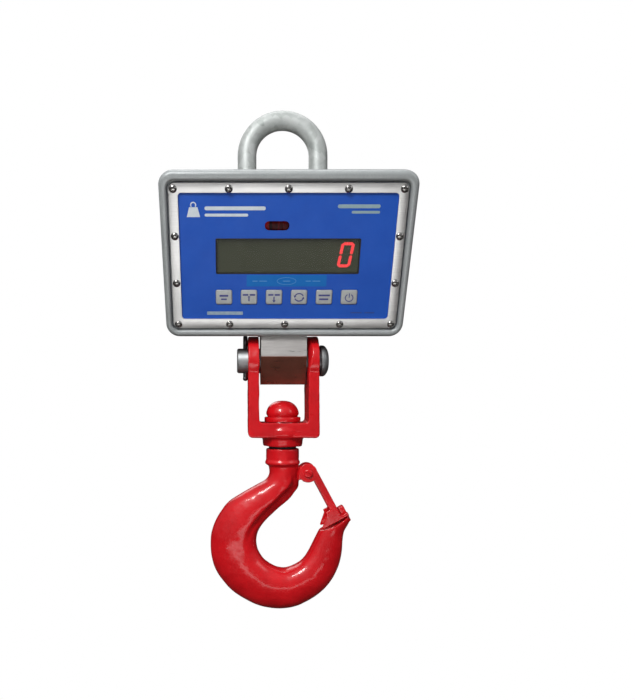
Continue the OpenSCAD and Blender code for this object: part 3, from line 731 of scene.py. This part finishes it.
bz = [(u, 61.6) for u in (-104.7, -54.2, 0, 54.2, 104.7)] + [(u, -65.6) for u in (-104.2, -54, 0, 54, 104.2)] + [(-104.5, 19.4), (-104.5, -24.8), (104.5, 19.4), (104.5, -24.8)]
turns = [0.3, 1.1, 0.7, 0.1, 1.3, 0.9, 0.5, 0.2, 1.0, 0.6, 0.4, 1.2, 0.8, 0.15]
add("bezel_screw_heads", *merged([screw_head(face_place(u, v, -2.35, t)) for (u, v), t in zip(bz, turns)]), "screw", "scale_body", "bezel_screws", angle=42)
rc = [(x, z) for x in (-98, -33, 33, 98) for z in (-115.5, -199.5)]
rear_place = lambda x0, z0, t: (lambda x, y, z: (x0 + math.cos(t) * x - math.sin(t) * y, 38.5 + z, z0 - math.sin(t) * x - math.cos(t) * y))
add("rear_screw_heads", *merged([screw_head(rear_place(x, z, t)) for (x, z), t in zip(rc, turns)]), "screw", "scale_body", "rear_cover_screws", angle=42)

# bezel: a laser cut frame with broken edges; the groove round it shows the ledge
o0, o1 = (218, 136.8, 6), (201, 118.2, 3)
wc = -1.0
bzl = [frr(o0[0] - 0.6, o0[1] - 0.6, 5.8, vc, -3.95), frr(*o0, vc, -3.7), frr(*o0, vc, -2.7), frr(o0[0] - 0.25, o0[1] - 0.25, 5.9, vc, -2.5),
       frr(o0[0] - 0.6, o0[1] - 0.6, 5.8, vc, -2.45),
       frr(o1[0] + 0.6, o1[1] + 0.6, 3.2, wc, -2.45), frr(o1[0] + 0.25, o1[1] + 0.25, 3.1, wc, -2.5), frr(*o1, wc, -2.7), frr(*o1, wc, -3.7), frr(o1[0] + 0.6, o1[1] + 0.6, 3.2, wc, -3.95)]
add("bezel_plate", *loft(bzl, ring=True), "bezel", "scale_body", "bezel_frame", angle=25)

# --------------------------------------------------------- panel and display
DU, DV, DW, DH = 1.2, 0.5, 136.2, 33.6
liner = [frr(DW - 0.05, DH - 0.05, 1.5, DV, -6.0, DU), frr(DW - 0.05, DH - 0.05, 1.5, DV, -4.02, DU), frr(DW - 0.4, DH - 0.4, 1.3, DV, -3.93, DU),
         frr(DW - 1.5, DH - 1.5, 0.9, DV, -4.1, DU), frr(DW - 2.0, DH - 2.0, 0.8, DV, -5.98, DU)]
add("display_surround", *loft(liner, ring=True), "black", "scale_body", slot="black_plastic", angle=40)
win = [frr(DW + 5.4, DH + 5.4, 1.6, DV, -7.7, DU), frr(DW + 6, DH + 6, 2, DV, -7.4, DU), frr(DW + 6, DH + 6, 2, DV, -6.3, DU), frr(DW + 5.4, DH + 5.4, 1.8, DV, -6.06, DU)]
add("display_pane", *loft(win), "window", "scale_body", "display_window", angle=30)


def segment(pts, n0, n1, inset=0.25):
    """a bar with pointed ends and softened edges, lying in the face"""
    P = np.array(pts)
    c = P.mean(axis=0)

    def ring(k, n):
        return [F(*(c + (p - c) * (1 - k / max(np.linalg.norm(p - c), 1e-6))), n) for p in P]
    return loft([ring(0, n0), ring(0, n1 - 0.12), ring(inset, n1)])


def digit(cu, cv, w=12.6, h=23.6, t=2.7, k=0.16):
    parts = []
    for sx in (-1, 1):
        for sy in (-1, 1):
            pts = []
            for x, y in ((-t / 2, 1.25), (0, 0.45), (t / 2, 1.25), (t / 2, h / 2 - t * 0.80), (0.0, h / 2 - t * 0.35), (-t / 2, h / 2 - t * 0.80)):
                X, Y = sx * (w / 2 - t / 2) + x, sy * y
                pts.append((cu + X + k * Y, cv + Y))
            parts.append(segment(pts, -8.2, -7.82))
    for sy in (-1, 1):
        pts = []
        for x, y in ((-w / 2 + t * 0.80 + 0.5, -t / 2), (w / 2 - t * 0.80 - 0.5, -t / 2), (w / 2 - t * 0.35 - 0.4, 0.2 * sy), (w / 2 - t * 0.80 - 0.5, t / 2), (-w / 2 + t * 0.80 + 0.5, t / 2), (-w / 2 + t * 0.35 + 0.4, 0.2 * sy)):
            X, Y = x, sy * (h / 2 - t / 2) + y
            pts.append((cu + X + k * Y, cv + Y))
        parts.append(segment(pts, -8.2, -7.82))
    return merged(parts)


add("lit_digit", *digit(56.4, 1.2), "led", "scale_body", "digit_segments", angle=30)

# infrared filter: a pill with a shallow crown
IRU, IRV, IRW, IRH = -9.6, 28.8, 22.8, 8.4
irl = [frr(IRW + 3, IRH + 3, 5, IRV, -7.0, IRU), frr(IRW + 3, IRH + 3, 5, IRV, -6.1, IRU), frr(IRW - 0.2, IRH - 0.2, 4.2, IRV, -6.05, IRU), frr(IRW - 0.2, IRH - 0.2, 4.2, IRV, -4.25, IRU),
       frr(IRW - 0.8, IRH - 0.8, 3.9, IRV, -3.95, IRU), frr(IRW - 2.4, IRH - 2.4, 3.1, IRV, -3.78, IRU), frr(IRW - 5, IRH - 5, 1.9, IRV, -3.7, IRU)]
add("infrared_filter", *loft(irl), "infrared", "scale_body", "infrared_window", angle=35)


def flat(w, h, r, u, v, n=-3.99, t=0.06, k=5):
    return loft([frr(w, h, r, v, n - 0.04, u, k), frr(w, h, r, v, n + t, u, k)])


def stroke(pts, width, n, t=0.05, closed=False):
    """flat printed line along points in the face"""
    P = [np.array(p, float) for p in pts]
    left, right = [], []
    for i, p in enumerate(P):
        a = P[(i - 1) % len(P)] if (closed or i > 0) else p
        b = P[(i + 1) % len(P)] if (closed or i < len(P) - 1) else p
        d = b - a
        d = d / np.linalg.norm(d)
        nrm = np.array([-d[1], d[0]])
        left.append(p + nrm * width / 2)
        right.append(p - nrm * width / 2)
    quads = []
    m = len(P)
    for i in range(m if closed else m - 1):
        j = (i + 1) % m
        quads.append((left[i], left[j], right[j], right[i]))
    verts, faces = [], []
    top = [F(*p, n + t) for p in left] + [F(*p, n + t) for p in right]
    bot = [F(*p, n - 0.03) for p in left] + [F(*p, n - 0.03) for p in right]
    verts = top + bot
    for i in range(m if closed else m - 1):
        j = (i + 1) % m
        faces += [(i, j, m + j, m + i), (2 * m + i, 3 * m + i, 3 * m + j, 2 * m + j), (i, 2 * m + i, 2 * m + j, j), (m + i, m + j, 3 * m + j, 3 * m + i)]
    if not closed:
        faces += [(0, m, 3 * m, 2 * m), (m - 1, 3 * m - 1, 4 * m - 1, 2 * m - 1)]
    return verts, faces


def triangle(pts, n, t=0.05):
    return loft([[F(*p, n - 0.03) for p in pts], [F(*p, n + t) for p in pts]])


# the lighter strip below the display, with three plain dashes and an oval
add("panel_strip", *flat(76.5, 10.9, 0.8, 0.7, -22.7), "strip", "scale_body", slot="panel_blue", angle=30)
oval = [(0.7 + 9.0 * math.cos(a), -23.0 + 3.4 * math.sin(a)) for a in np.linspace(0, 2 * math.pi, 40, endpoint=False)]
marks = [stroke(oval, 0.3, -3.93, closed=True), flat(7, 0.6, 0.25, 0.7, -23.0, -3.93)]
for x0 in (-25, 26):
    marks += [flat(5.0, 0.6, 0.25, x0 - 4.5, -23.0, -3.93), flat(7.5, 0.6, 0.25, x0 + 3.2, -23.0, -3.93)]
add("strip_marks", *merged(marks), "printfaint", "scale_body", slot="key_silver", angle=30)
# plain silver label low on the left, and a faint dark line on the right
add("panel_label", *flat(35.0, 3.3, 0.5, -58.5, -54.7), "label", "scale_body", slot="key_silver", angle=30)
add("panel_line", *merged([flat(11.0, 1.1, 0.3, 69.5, -54.3), flat(9.5, 1.1, 0.3, 82.5, -54.3)]), "inkfaint", "scale_body", slot="panel_blue", angle=30)
# generic marks in place of the maker's: a weight pictogram with two rules, and one rule
wt = [(-93.0, 36.6), (-80.6, 36.6), (-83.0, 45.4), (-90.6, 45.4)]
hand = [(-86.8 + 2.3 * math.cos(a), 47.4 + 2.3 * math.sin(a)) for a in np.linspace(-0.7, math.pi + 0.7, 18)]
generic = [triangle(wt, -3.99), stroke(hand, 1.0, -3.99)]
generic += [flat(56, 3.4, 1.6, -48.5, 44.4), flat(40, 2.6, 1.2, -56.5, 38.4)]
add("panel_marks_right", *merged([flat(39, 3.4, 1.6, 65.0, 46.2), flat(26, 2.4, 1.1, 71.5, 41.0)]), "printdull", "scale_body", slot="key_silver", angle=30)
add("panel_marks", *merged(generic), "print", "scale_body", slot="key_silver", angle=30)


# --------------------------------------------------------------------- keys
def key_piece(i, name):
    u = KEY_U0 + i * KEY_PITCH
    w, h = 15.6, 14.1
    lo = [frr(18.0, 16.5, 2.4, KEY_V, -7.2, u), frr(18.0, 16.5, 2.4, KEY_V, -6.25, u), frr(w, h, 1.8, KEY_V, -6.2, u), frr(w, h, 1.8, KEY_V, -3.9, u),
          frr(w - 0.35, h - 0.35, 1.75, KEY_V, -3.5, u), frr(w - 1.0, h - 1.0, 1.6, KEY_V, -3.27, u), frr(w - 2.2, h - 2.2, 1.4, KEY_V, -3.2, u), frr(w - 7, h - 7, 1.0, KEY_V, -3.17, u)]
    add(name + "_cap", *loft(lo), "key", name + "_body", name, angle=38)
    top = -3.17
    P = []

    def bar(x, y, bw, bh):
        P.append(flat(bw, bh, min(bw, bh) * 0.3, u + x, KEY_V + y, top - 0.02, 0.06, 3))
    if i == 0:
        bar(0, 1.5, 8.6, 1.9)
        bar(0, -1.9, 5.6, 1.5)
    elif i in (1, 2):
        wd = 12.6 if i == 1 else 11.4
        bar(-wd * 0.27, 2.4, wd * 0.44, 1.7)
        bar(wd * 0.27, 2.4, wd * 0.44, 1.7)
        bar(0, -1.6, 1.2, 4.6)
        P.append(triangle([(u - 1.7, KEY_V - 3.0), (u + 1.7, KEY_V - 3.0), (u, KEY_V - 5.2)] if i == 2 else [(u - 1.7, KEY_V + 0.1), (u + 1.7, KEY_V + 0.1), (u, KEY_V + 1.4)], top - 0.02, 0.06))
    elif i == 3:
        for a0 in (0.35, 0.35 + math.pi):
            pts = [(u + 4.2 * math.cos(a), KEY_V + 3.7 * math.sin(a)) for a in np.linspace(a0, a0 + 2.35, 18)]
            P.append(stroke(pts, 1.15, top - 0.02, 0.06))
            a = a0 + 2.45
            c = np.array([u + 4.2 * math.cos(a), KEY_V + 3.7 * math.sin(a)])
            t = np.array([-math.sin(a), math.cos(a)])
            r = np.array([math.cos(a), math.sin(a)])
            P.append(triangle([tuple(c + r * 1.5 - t * 0.3), tuple(c - r * 1.5 - t * 0.3), tuple(c + t * 1.9)], top - 0.02, 0.06))
    elif i == 4:
        bar(0, 1.9, 11.0, 1.7)
        bar(-0.3, -1.9, 8.8, 1.7)
    else:
        pts = [(u + 3.7 * math.cos(a), KEY_V - 0.5 + 3.5 * math.sin(a)) for a in np.linspace(math.radians(118), math.radians(422), 30)]
        P.append(stroke(pts, 0.9, top - 0.02, 0.06))
        bar(0, 1.7, 0.9, 4.4)
    add(name + "_icon", *merged(P), "ink", name + "_body", slot="key_silver", angle=30)


for i, k in enumerate(KEYS):
    key_piece(i, k)

# --------------------------------------------------------------------- yoke
collar = revolve([(15, -302.8), (19.5, -303.2), (22.4, -305.0), (23.9, -308.0), (23.9, -313.0), (22.6, -315.6), (20.8, -317.4), (20.3, -323.0), (15, -323.5)], 72, close=True)
forge("yoke_forging", ["yoke", collar], 0.75, 9, "red", "yoke_body", "yoke", lumps=0.9)

# clevis pin: plain turned end on the left, broad domed head on the right
cp = [(0, -46.8), (3.2, -46.8), (3.4, -46.2), (3.9, -46.2), (4.2, -46.8), (10.9, -46.8), (11.8, -46.5), (12.5, -45.6), (12.7, -44.6), (12.7, 38.3), (15.4, 38.3), (16.0, 38.8), (16.0, 40.6)]
cp += [(15.9, 41.6), (15.4, 42.8), (14.4, 43.9), (12.6, 45.2), (10.4, 46.2), (8.8, 46.6), (8.2, 46.2), (7.0, 46.2), (6.2, 46.7), (3, 47.1), (0, 47.2)]
add("clevis_pin_turned", *revolve(cp, 72, alongx(0, 0, Z_LP)), "plated", "yoke_body", "clevis_pin", angle=36)
cotter("clevis_split_pin", -38.2, Z_LP + 13.8, 29.0, 2.9, 4.4, "yoke_body", "clevis_cotter", spread=0.9)
bevel("clevis_washer", 0.3)

# ---------------------------------------------------------- swivel and hook
dome = [(0, -278.4), (2.4, -278.45), (4.8, -278.75), (7.0, -279.3), (9.0, -280.1), (10.9, -281.2), (12.6, -282.6), (14.1, -284.25), (15.3, -286.2), (16.2, -288.4), (16.7, -290.4), (16.75, -291.6), (16.4, -292.8), (15.7, -293.8), (15.2, -294.9), (10.05, -294.9), (10.05, -284.9), (0, -284.9)]
add("swivel_dome_nut", *revolve(dome, 72), "red", "hook_body", "swivel_nut", angle=45)
wash = [(12.06, -295.1), (17.6, -295.0), (18.2, -295.2), (18.5, -295.7), (18.5, -299.5), (18.2, -300.1), (17.6, -300.35), (12.06, -300.35)]
add("swivel_washer_ring", *revolve(wash, 72, close=True), "red", "hook_body", "swivel_washer", angle=45)

ST_H = [[-14.6, -342, 15.6, -342, 15], [-13.9, -347, 15.8, -347, 14.8], [-13.9, -353.5, 16, -354, 14.6], [-18, -360, 16.8, -362, 14.6],
        [-29, -366, 16.2, -367.5, 15], [-43, -374, 12.5, -372.5, 15.4], [-55, -382, 7, -379.5, 16], [-63, -391.5, -2.5, -387.5, 16.4],
        [-69, -402, -11, -395, 16.6], [-73, -413, -19, -403, 16.8], [-74, -424.5, -25, -412, 17], [-73.4, -436, -27, -421.5, 17],
        [-70.4, -448, -25.5, -430.5, 17], [-64, -459.5, -21, -439, 17], [-54, -471, -14.5, -445, 17], [-41, -480.5, -7.5, -449, 17],
        [-25, -488, -1, -450.6, 17], [-6, -491.5, 4, -450.5, 16.8], [12, -489.5, 10, -448.5, 16.4], [28, -482.5, 16.5, -445, 15.8],
        [41, -473, 22, -440, 15], [51, -461, 26.5, -433.5, 14.2], [57.5, -448, 30, -426.5, 13.4], [60.5, -435, 33.5, -419.5, 12.6],
        [61.5, -423, 37, -412.5, 12], [63, -413, 40.5, -406, 11.8], [67, -406, 43.6, -400, 11.6], [69.2, -400.5, 47, -394, 11.2], [67.6, -394.5, 53, -390.5, 10.4]]
# how strongly the inner edge is drawn out into a thin flange, along the hook
FLANGE = [0, 0, 0.1, 0.5, 1, 1, 1, 0.9, 0.7, 0.4, 0.15] + [0] * 18


def hook_section(s, f, g, n=56):
    """f: 0 round, 1 forged section, broader on the inside; g: strength of the inner flange"""
    cx, cz = (s[0] + s[2]) / 2, (s[1] + s[3]) / 2
    dx, dz = (s[0] - s[2]) / 2, (s[1] - s[3]) / 2
    out = []
    for j in range(n):
        a = 2 * math.pi * j / n
        u, w = math.cos(a), math.sin(a)
        wide = math.copysign(abs(w) ** (1 - 0.18 * f), w) * (1 - 0.10 * f * u)
        if g > 0 and u < -0.45:
            k = min(1.0, (-0.45 - u) / 0.17)
            k = k * k * (3 - 2 * k)
            wide *= 1 - 0.60 * g * k
        out.append((cx + dx * u, s[4] * wide * 0.97, cz + dz * u))
    return out


hs = smooth_path(ST_H, 5)
loops = []
for i, s in enumerate(hs):
    t = i / (len(hs) - 1) * (len(ST_H) - 1)
    f = 0 if t < 2 else min(1, (t - 2) / 4)
    if t > 24:
        f *= 1 - (t - 24) / 6
    k = min(int(t), len(ST_H) - 2)
    g = FLANGE[k] * (1 - t + k) + FLANGE[k + 1] * (t - k)
    loops.append(hook_section(s, f, g))
body = loft(loops)
neck = [(0, -346.5), (11.5, -346.5), (17.2, -343.4), (18.0, -342.2), (17.8, -340.8), (16.5, -338.8), (16.9, -337.3), (16.95, -328.0), (16.6, -327.4), (16.1, -327.3), (12, -327.3), (12, -295.2), (11.2, -294.9), (10, -294.9), (10, -286), (9.2, -285.1), (0, -285)]
neck = revolve(neck, 72)


def box(x0, x1, y0, y1, z0, z1):
    v = [(x, y, z) for x in (x0, x1) for y in (y0, y1) for z in (z0, z1)]
    f = [(0, 1, 3, 2), (4, 6, 7, 5), (0, 4, 5, 1), (2, 3, 7, 6), (0, 2, 6, 4), (1, 5, 7, 3)]
    return v, f


def latch_frame(verts):
    c, s = math.cos(LATCH_A), math.sin(LATCH_A)
    return [(LP[0] + c * x + s * z, y, LP[1] - s * x + c * z) for x, y, z in verts]


ear = revolve([(0, -5.5), (8.2, -5.5), (8.2, 5.5), (0, 5.5)], 48, alongy(LP[0], 0, LP[1]))
web = box(5, LP[0] - 1, -5.3, 5.3, LP[1] - 7.4, LP[1] + 6.8)
stop = box(46.8, 64, -5.3, 5.3, 9.7, 16.3)
stop = (latch_frame(stop[0]), stop[1])
bore = revolve([(0, -9), (3.02, -9), (3.02, 9), (0, 9)], 32, alongy(LP[0], 0, LP[1]))
sweep = []
for y in (-20, 20):
    sweep.append([(LP[0] + 60.3 * math.cos(a), y, LP[1] + 60.3 * math.sin(a)) for a in np.radians(np.linspace(-82, -28, 40))] + [(LP[0] + 40, y, LP[1] - 20), (LP[0] + 8, y, LP[1] - 40)])
tip = temp_object(*body, "tip")
cutter = temp_object(*loft(sweep), "sweep")
bo = tip.modifiers.new("cut", "BOOLEAN")
bo.operation = "DIFFERENCE"
bo.object = cutter
bo.solver = "EXACT"
dg = bpy.context.evaluated_depsgraph_get()
cutme = bpy.data.meshes.new_from_object(tip.evaluated_get(dg))
body = ([tuple(1000 * c for c in v.co) for v in cutme.vertices], [tuple(p.vertices) for p in cutme.polygons])
bpy.data.objects.remove(cutter)
bpy.data.objects.remove(tip)
forge("hook_forging", [body, neck, ear, web, stop], 0.75, 6, "red", "hook_body", "hook", cut=[bore], lumps=0.55)

# -------------------------------------------------------------------- latch
# the toe flares towards the inside of the tip
ca, sa = math.cos(LATCH_A), math.sin(LATCH_A)
flare = []
for y0, y1 in ((-10.3, -8.3), (8.3, 10.3)):
    flare.append(loft([[(LP[0] + a * ca + q * sa, y, LP[1] - a * sa + q * ca) for a, q in ((46.2, -3.4), (55.6, -13.6), (57.2, -12.8), (57.2, 2), (48, 2))] for y in (y0, y1)]))
forge("latch_pressing", ["latch"] + flare, 0.42, 5, "red", "latch_body", "latch")
lb = [(0, 10.6 - 0.0), (4.1, 10.6), (4.3, 10.9), (4.3, 12.2), (4.0, 12.7), (3.4, 13.0), (0, 13.05)]
shank = revolve([(0, -14.4), (2.6, -14.4), (3.0, -14.0), (3.0, 10.7), (0, 10.7)], 40, alongy(LP[0], 0, LP[1]))
hd = revolve([(0, 10.5), (4.15, 10.5), (4.3, 10.8), (4.3, 12.1), (4.0, 12.6), (3.3, 12.95), (2.2, 13.0), (0, 13.0)], 48, alongy(LP[0], 0, LP[1]))
bolt = temp_object(*merged([hd]), "latch_bolt_turned")
ca, sa = math.cos(math.radians(-20)), math.sin(math.radians(-20))
sl = box(-6, 6, -14, -12.1, -0.55, 0.55)
slotter = temp_object([(LP[0] + ca * x - sa * z, y, LP[1] + sa * x + ca * z) for x, y, z in sl[0]], sl[1], "slotter")
bo = bolt.modifiers.new("slot", "BOOLEAN")
bo.operation = "DIFFERENCE"
bo.object = slotter
bo.solver = "EXACT"
dg = bpy.context.evaluated_depsgraph_get()
me = bpy.data.meshes.new_from_object(bolt.evaluated_get(dg))
bm = bmesh.new()
bm.from_mesh(me)
t = temp_object(*shank)
bm.from_mesh(t.data)
bpy.data.objects.remove(t)
bm.to_mesh(me)
bm.free()
bolt.modifiers.clear()
bolt.data = me
bpy.data.objects.remove(slotter)
me.materials.clear()
me.materials.append(M["red"])
for p in me.polygons:
    p.material_index = 0
smooth_mesh(me, 35)
finish_piece(bolt, "hook_body", "latch_bolt")


def hex_y(y0, y1, across, cx, cz, chamfer=0.5):
    loops = []
    rc = across / math.sqrt(3)
    for y, lim in ((y0, rc - chamfer * 1.5), (y0 + chamfer, rc), (y1 - chamfer, rc), (y1, rc - chamfer * 1.5)):
        lp = []
        for i in range(48):
            a = 2 * math.pi * i / 48
            s = (a + math.pi / 6) % (math.pi / 3) - math.pi / 6
            r = min((across / 2) / math.cos(s), lim)
            lp.append((cx + r * math.cos(a), y, cz + r * math.sin(a)))
        loops.append(lp)
    return loft(loops)


add("latch_hex_nut", *hex_y(10.6, 13.6, 10.0, LP[0], LP[1]), "red", "hook_body", "latch_nut", angle=28)

# return spring: a wound coil each side of the ear with its leg on the neck
parts = []
for sgn in (1, -1):
    pts = []
    for a in np.linspace(0, 2 * math.pi * 1.75, 60):
        pts.append((LP[0] + 5.2 * math.cos(a + 2.2), sgn * (6.35 + 1.1 * a / (2 * math.pi * 1.75)), LP[1] + 5.2 * math.sin(a + 2.2)))
    pts = [(LP[0] - 4.6, sgn * 6.35, LP[1] - 8.6), (LP[0] - 4.8, sgn * 6.35, LP[1] - 3.0)] + pts
    parts.append(tube(pts, 0.55, 10))
add("latch_spring_coils", *merged(parts), "plated", "hook_body", "latch_spring", angle=50)

for n in ("cell_brackets", "bracket_bolts", "battery_straps", "cable_plug", "main_board"):
    bevel(n, 0.3)
for n in ("battery_left", "battery_right"):
    bevel(n, 1.2, 3)
for n in ("nut_lock_pin", "board_screws", "board_standoffs", "infrared_receiver", "keypad_board"):
    bevel(n, 0.2)

# ------------------------------------------------------------ floor and light
def seen_white(nt, shade):
    """the studio sweep is plain white where it is looked at, and a paler or darker grey where it only lights the object"""
    lp = nt.nodes.new("ShaderNodeLightPath")
    mx = nt.nodes.new("ShaderNodeMixShader")
    nt.links.new(lp.outputs["Is Camera Ray"], mx.inputs[0])
    nt.links.new(shade, mx.inputs[1])
    return mx


fm = bpy.data.materials.new("studio_floor")
fm.use_nodes = True
fnt = fm.node_tree
fnt.nodes.clear()
fout = fnt.nodes.new("ShaderNodeOutputMaterial")
fdiff = fnt.nodes.new("ShaderNodeBsdfDiffuse")
fdiff.inputs["Color"].default_value = (0.052, 0.044, 0.040, 1)
fem = fnt.nodes.new("ShaderNodeEmission")
fnt.links.new(ramp(fnt, noise(fnt, 3, 2, 0.5, coords(fnt)), [(0.0, (1.0, 1.0, 1.0)), (1.0, (1.0, 1.0, 1.0))]), fem.inputs["Color"])
fem.inputs["Strength"].default_value = 1.0
fmx = seen_white(fnt, fdiff.outputs[0])
fnt.links.new(fem.outputs[0], fmx.inputs[2])
fnt.links.new(fmx.outputs[0], fout.inputs[0])
R = 1.2
prof = [(-3.2, -0.62)] + [(1.6 + R * math.sin(a), -0.62 + R - R * math.cos(a)) for a in np.linspace(0, math.pi / 2, 16)] + [(1.6 + R, 3.4)]
vs, fs = [], []
for x in (-5.0, 5.0):
    vs += [(x, y, z) for y, z in prof]
nP = len(prof)
for i in range(nP - 1):
    fs.append((i, i + 1, nP + i + 1, nP + i))
me = bpy.data.meshes.new("studio_floor")
me.from_pydata(vs, [], fs)
me.materials.append(fm)
for p in me.polygons:
    p.use_smooth = True
floor = bpy.data.objects.new("studio_floor", me)
scene.collection.objects.link(floor)

world = bpy.data.worlds.new("studio")
scene.world = world
world.use_nodes = True
wn = world.node_tree
wn.nodes.clear()
wout = wn.nodes.new("ShaderNodeOutputWorld")
wtc = wn.nodes.new("ShaderNodeTexCoord")
wsep = wn.nodes.new("ShaderNodeSeparateXYZ")
wn.links.new(wtc.outputs["Generated"], wsep.inputs[0])
room = wn.nodes.new("ShaderNodeBackground")
wn.links.new(ramp(wn, remap(wn, wsep.outputs["Z"], 0.0, 1.0, -1.0, 1.0), [(0.0, (0.05, 0.045, 0.045)), (0.44, (0.10, 0.10, 0.10)), (0.56, (0.34, 0.34, 0.35)), (0.80, (0.75, 0.75, 0.77)), (1.0, (0.95, 0.95, 0.97))]), room.inputs["Color"])
room.inputs["Strength"].default_value = 0.62
white = wn.nodes.new("ShaderNodeBackground")
white.inputs["Color"].default_value = (1, 1, 1, 1)
white.inputs["Strength"].default_value = 1.0
wmx = seen_white(wn, room.outputs[0])
wn.links.new(white.outputs[0], wmx.inputs[2])
wn.links.new(wmx.outputs[0], wout.inputs[0])


def area(name, loc, target, size, power, sy=None, tint=(1, 1, 1)):
    l = bpy.data.lights.new(name, "AREA")
    l.shape = "RECTANGLE"
    l.size = size
    l.size_y = sy or size
    l.energy = power
    l.color = tint
    o = bpy.data.objects.new(name, l)
    o.location = loc
    d = Vector(target) - Vector(loc)
    o.rotation_euler = d.to_track_quat("-Z", "Y").to_euler()
    scene.collection.objects.link(o)
    return o


area("key_light", (-0.60, -1.30, 0.78), (0, 0, -0.28), 0.42, 23)
soft = area("front_light", (-0.85, -1.70, 0.25), (0, 0, -0.25), 1.0, 6.5)
soft.visible_glossy = False
area("fill_light", (1.2, -0.7, 0.35), (0, 0, -0.3), 0.5, 1.8)
area("top_light", (0.0, 0.15, 1.0), (0, 0, -0.2), 0.8, 5)
area("back_light", (-0.5, 1.2, 0.6), (0, 0, -0.2), 0.8, 5)
area("bounce_light", (-0.05, -0.80, -0.60), (-0.05, -0.799, 0.0), 0.7, 3.0, 0.45)
for o in scene.objects:
    if o.type == "LIGHT":
        o.visible_camera = False

# -------------------------------------------------------------------- camera
cam_d = bpy.data.cameras.new("camera")
cam_d.sensor_fit = "AUTO"
cam_d.sensor_width = 36
cam_d.lens = 640 / 700 * 36
cam_d.shift_x = (317.5 - 237.6) / 700
cam_d.shift_y = (396 - 350) / 700
cam_d.clip_start = 0.01
cam = bpy.data.objects.new("camera", cam_d)
cam.location = (-0.0462, -0.659, -0.2736)
cam.rotation_euler = (math.radians(90), 0, 0)
scene.collection.objects.link(cam)
scene.camera = cam
scene.view_settings.view_transform = "Standard"
scene.view_settings.look = "None"
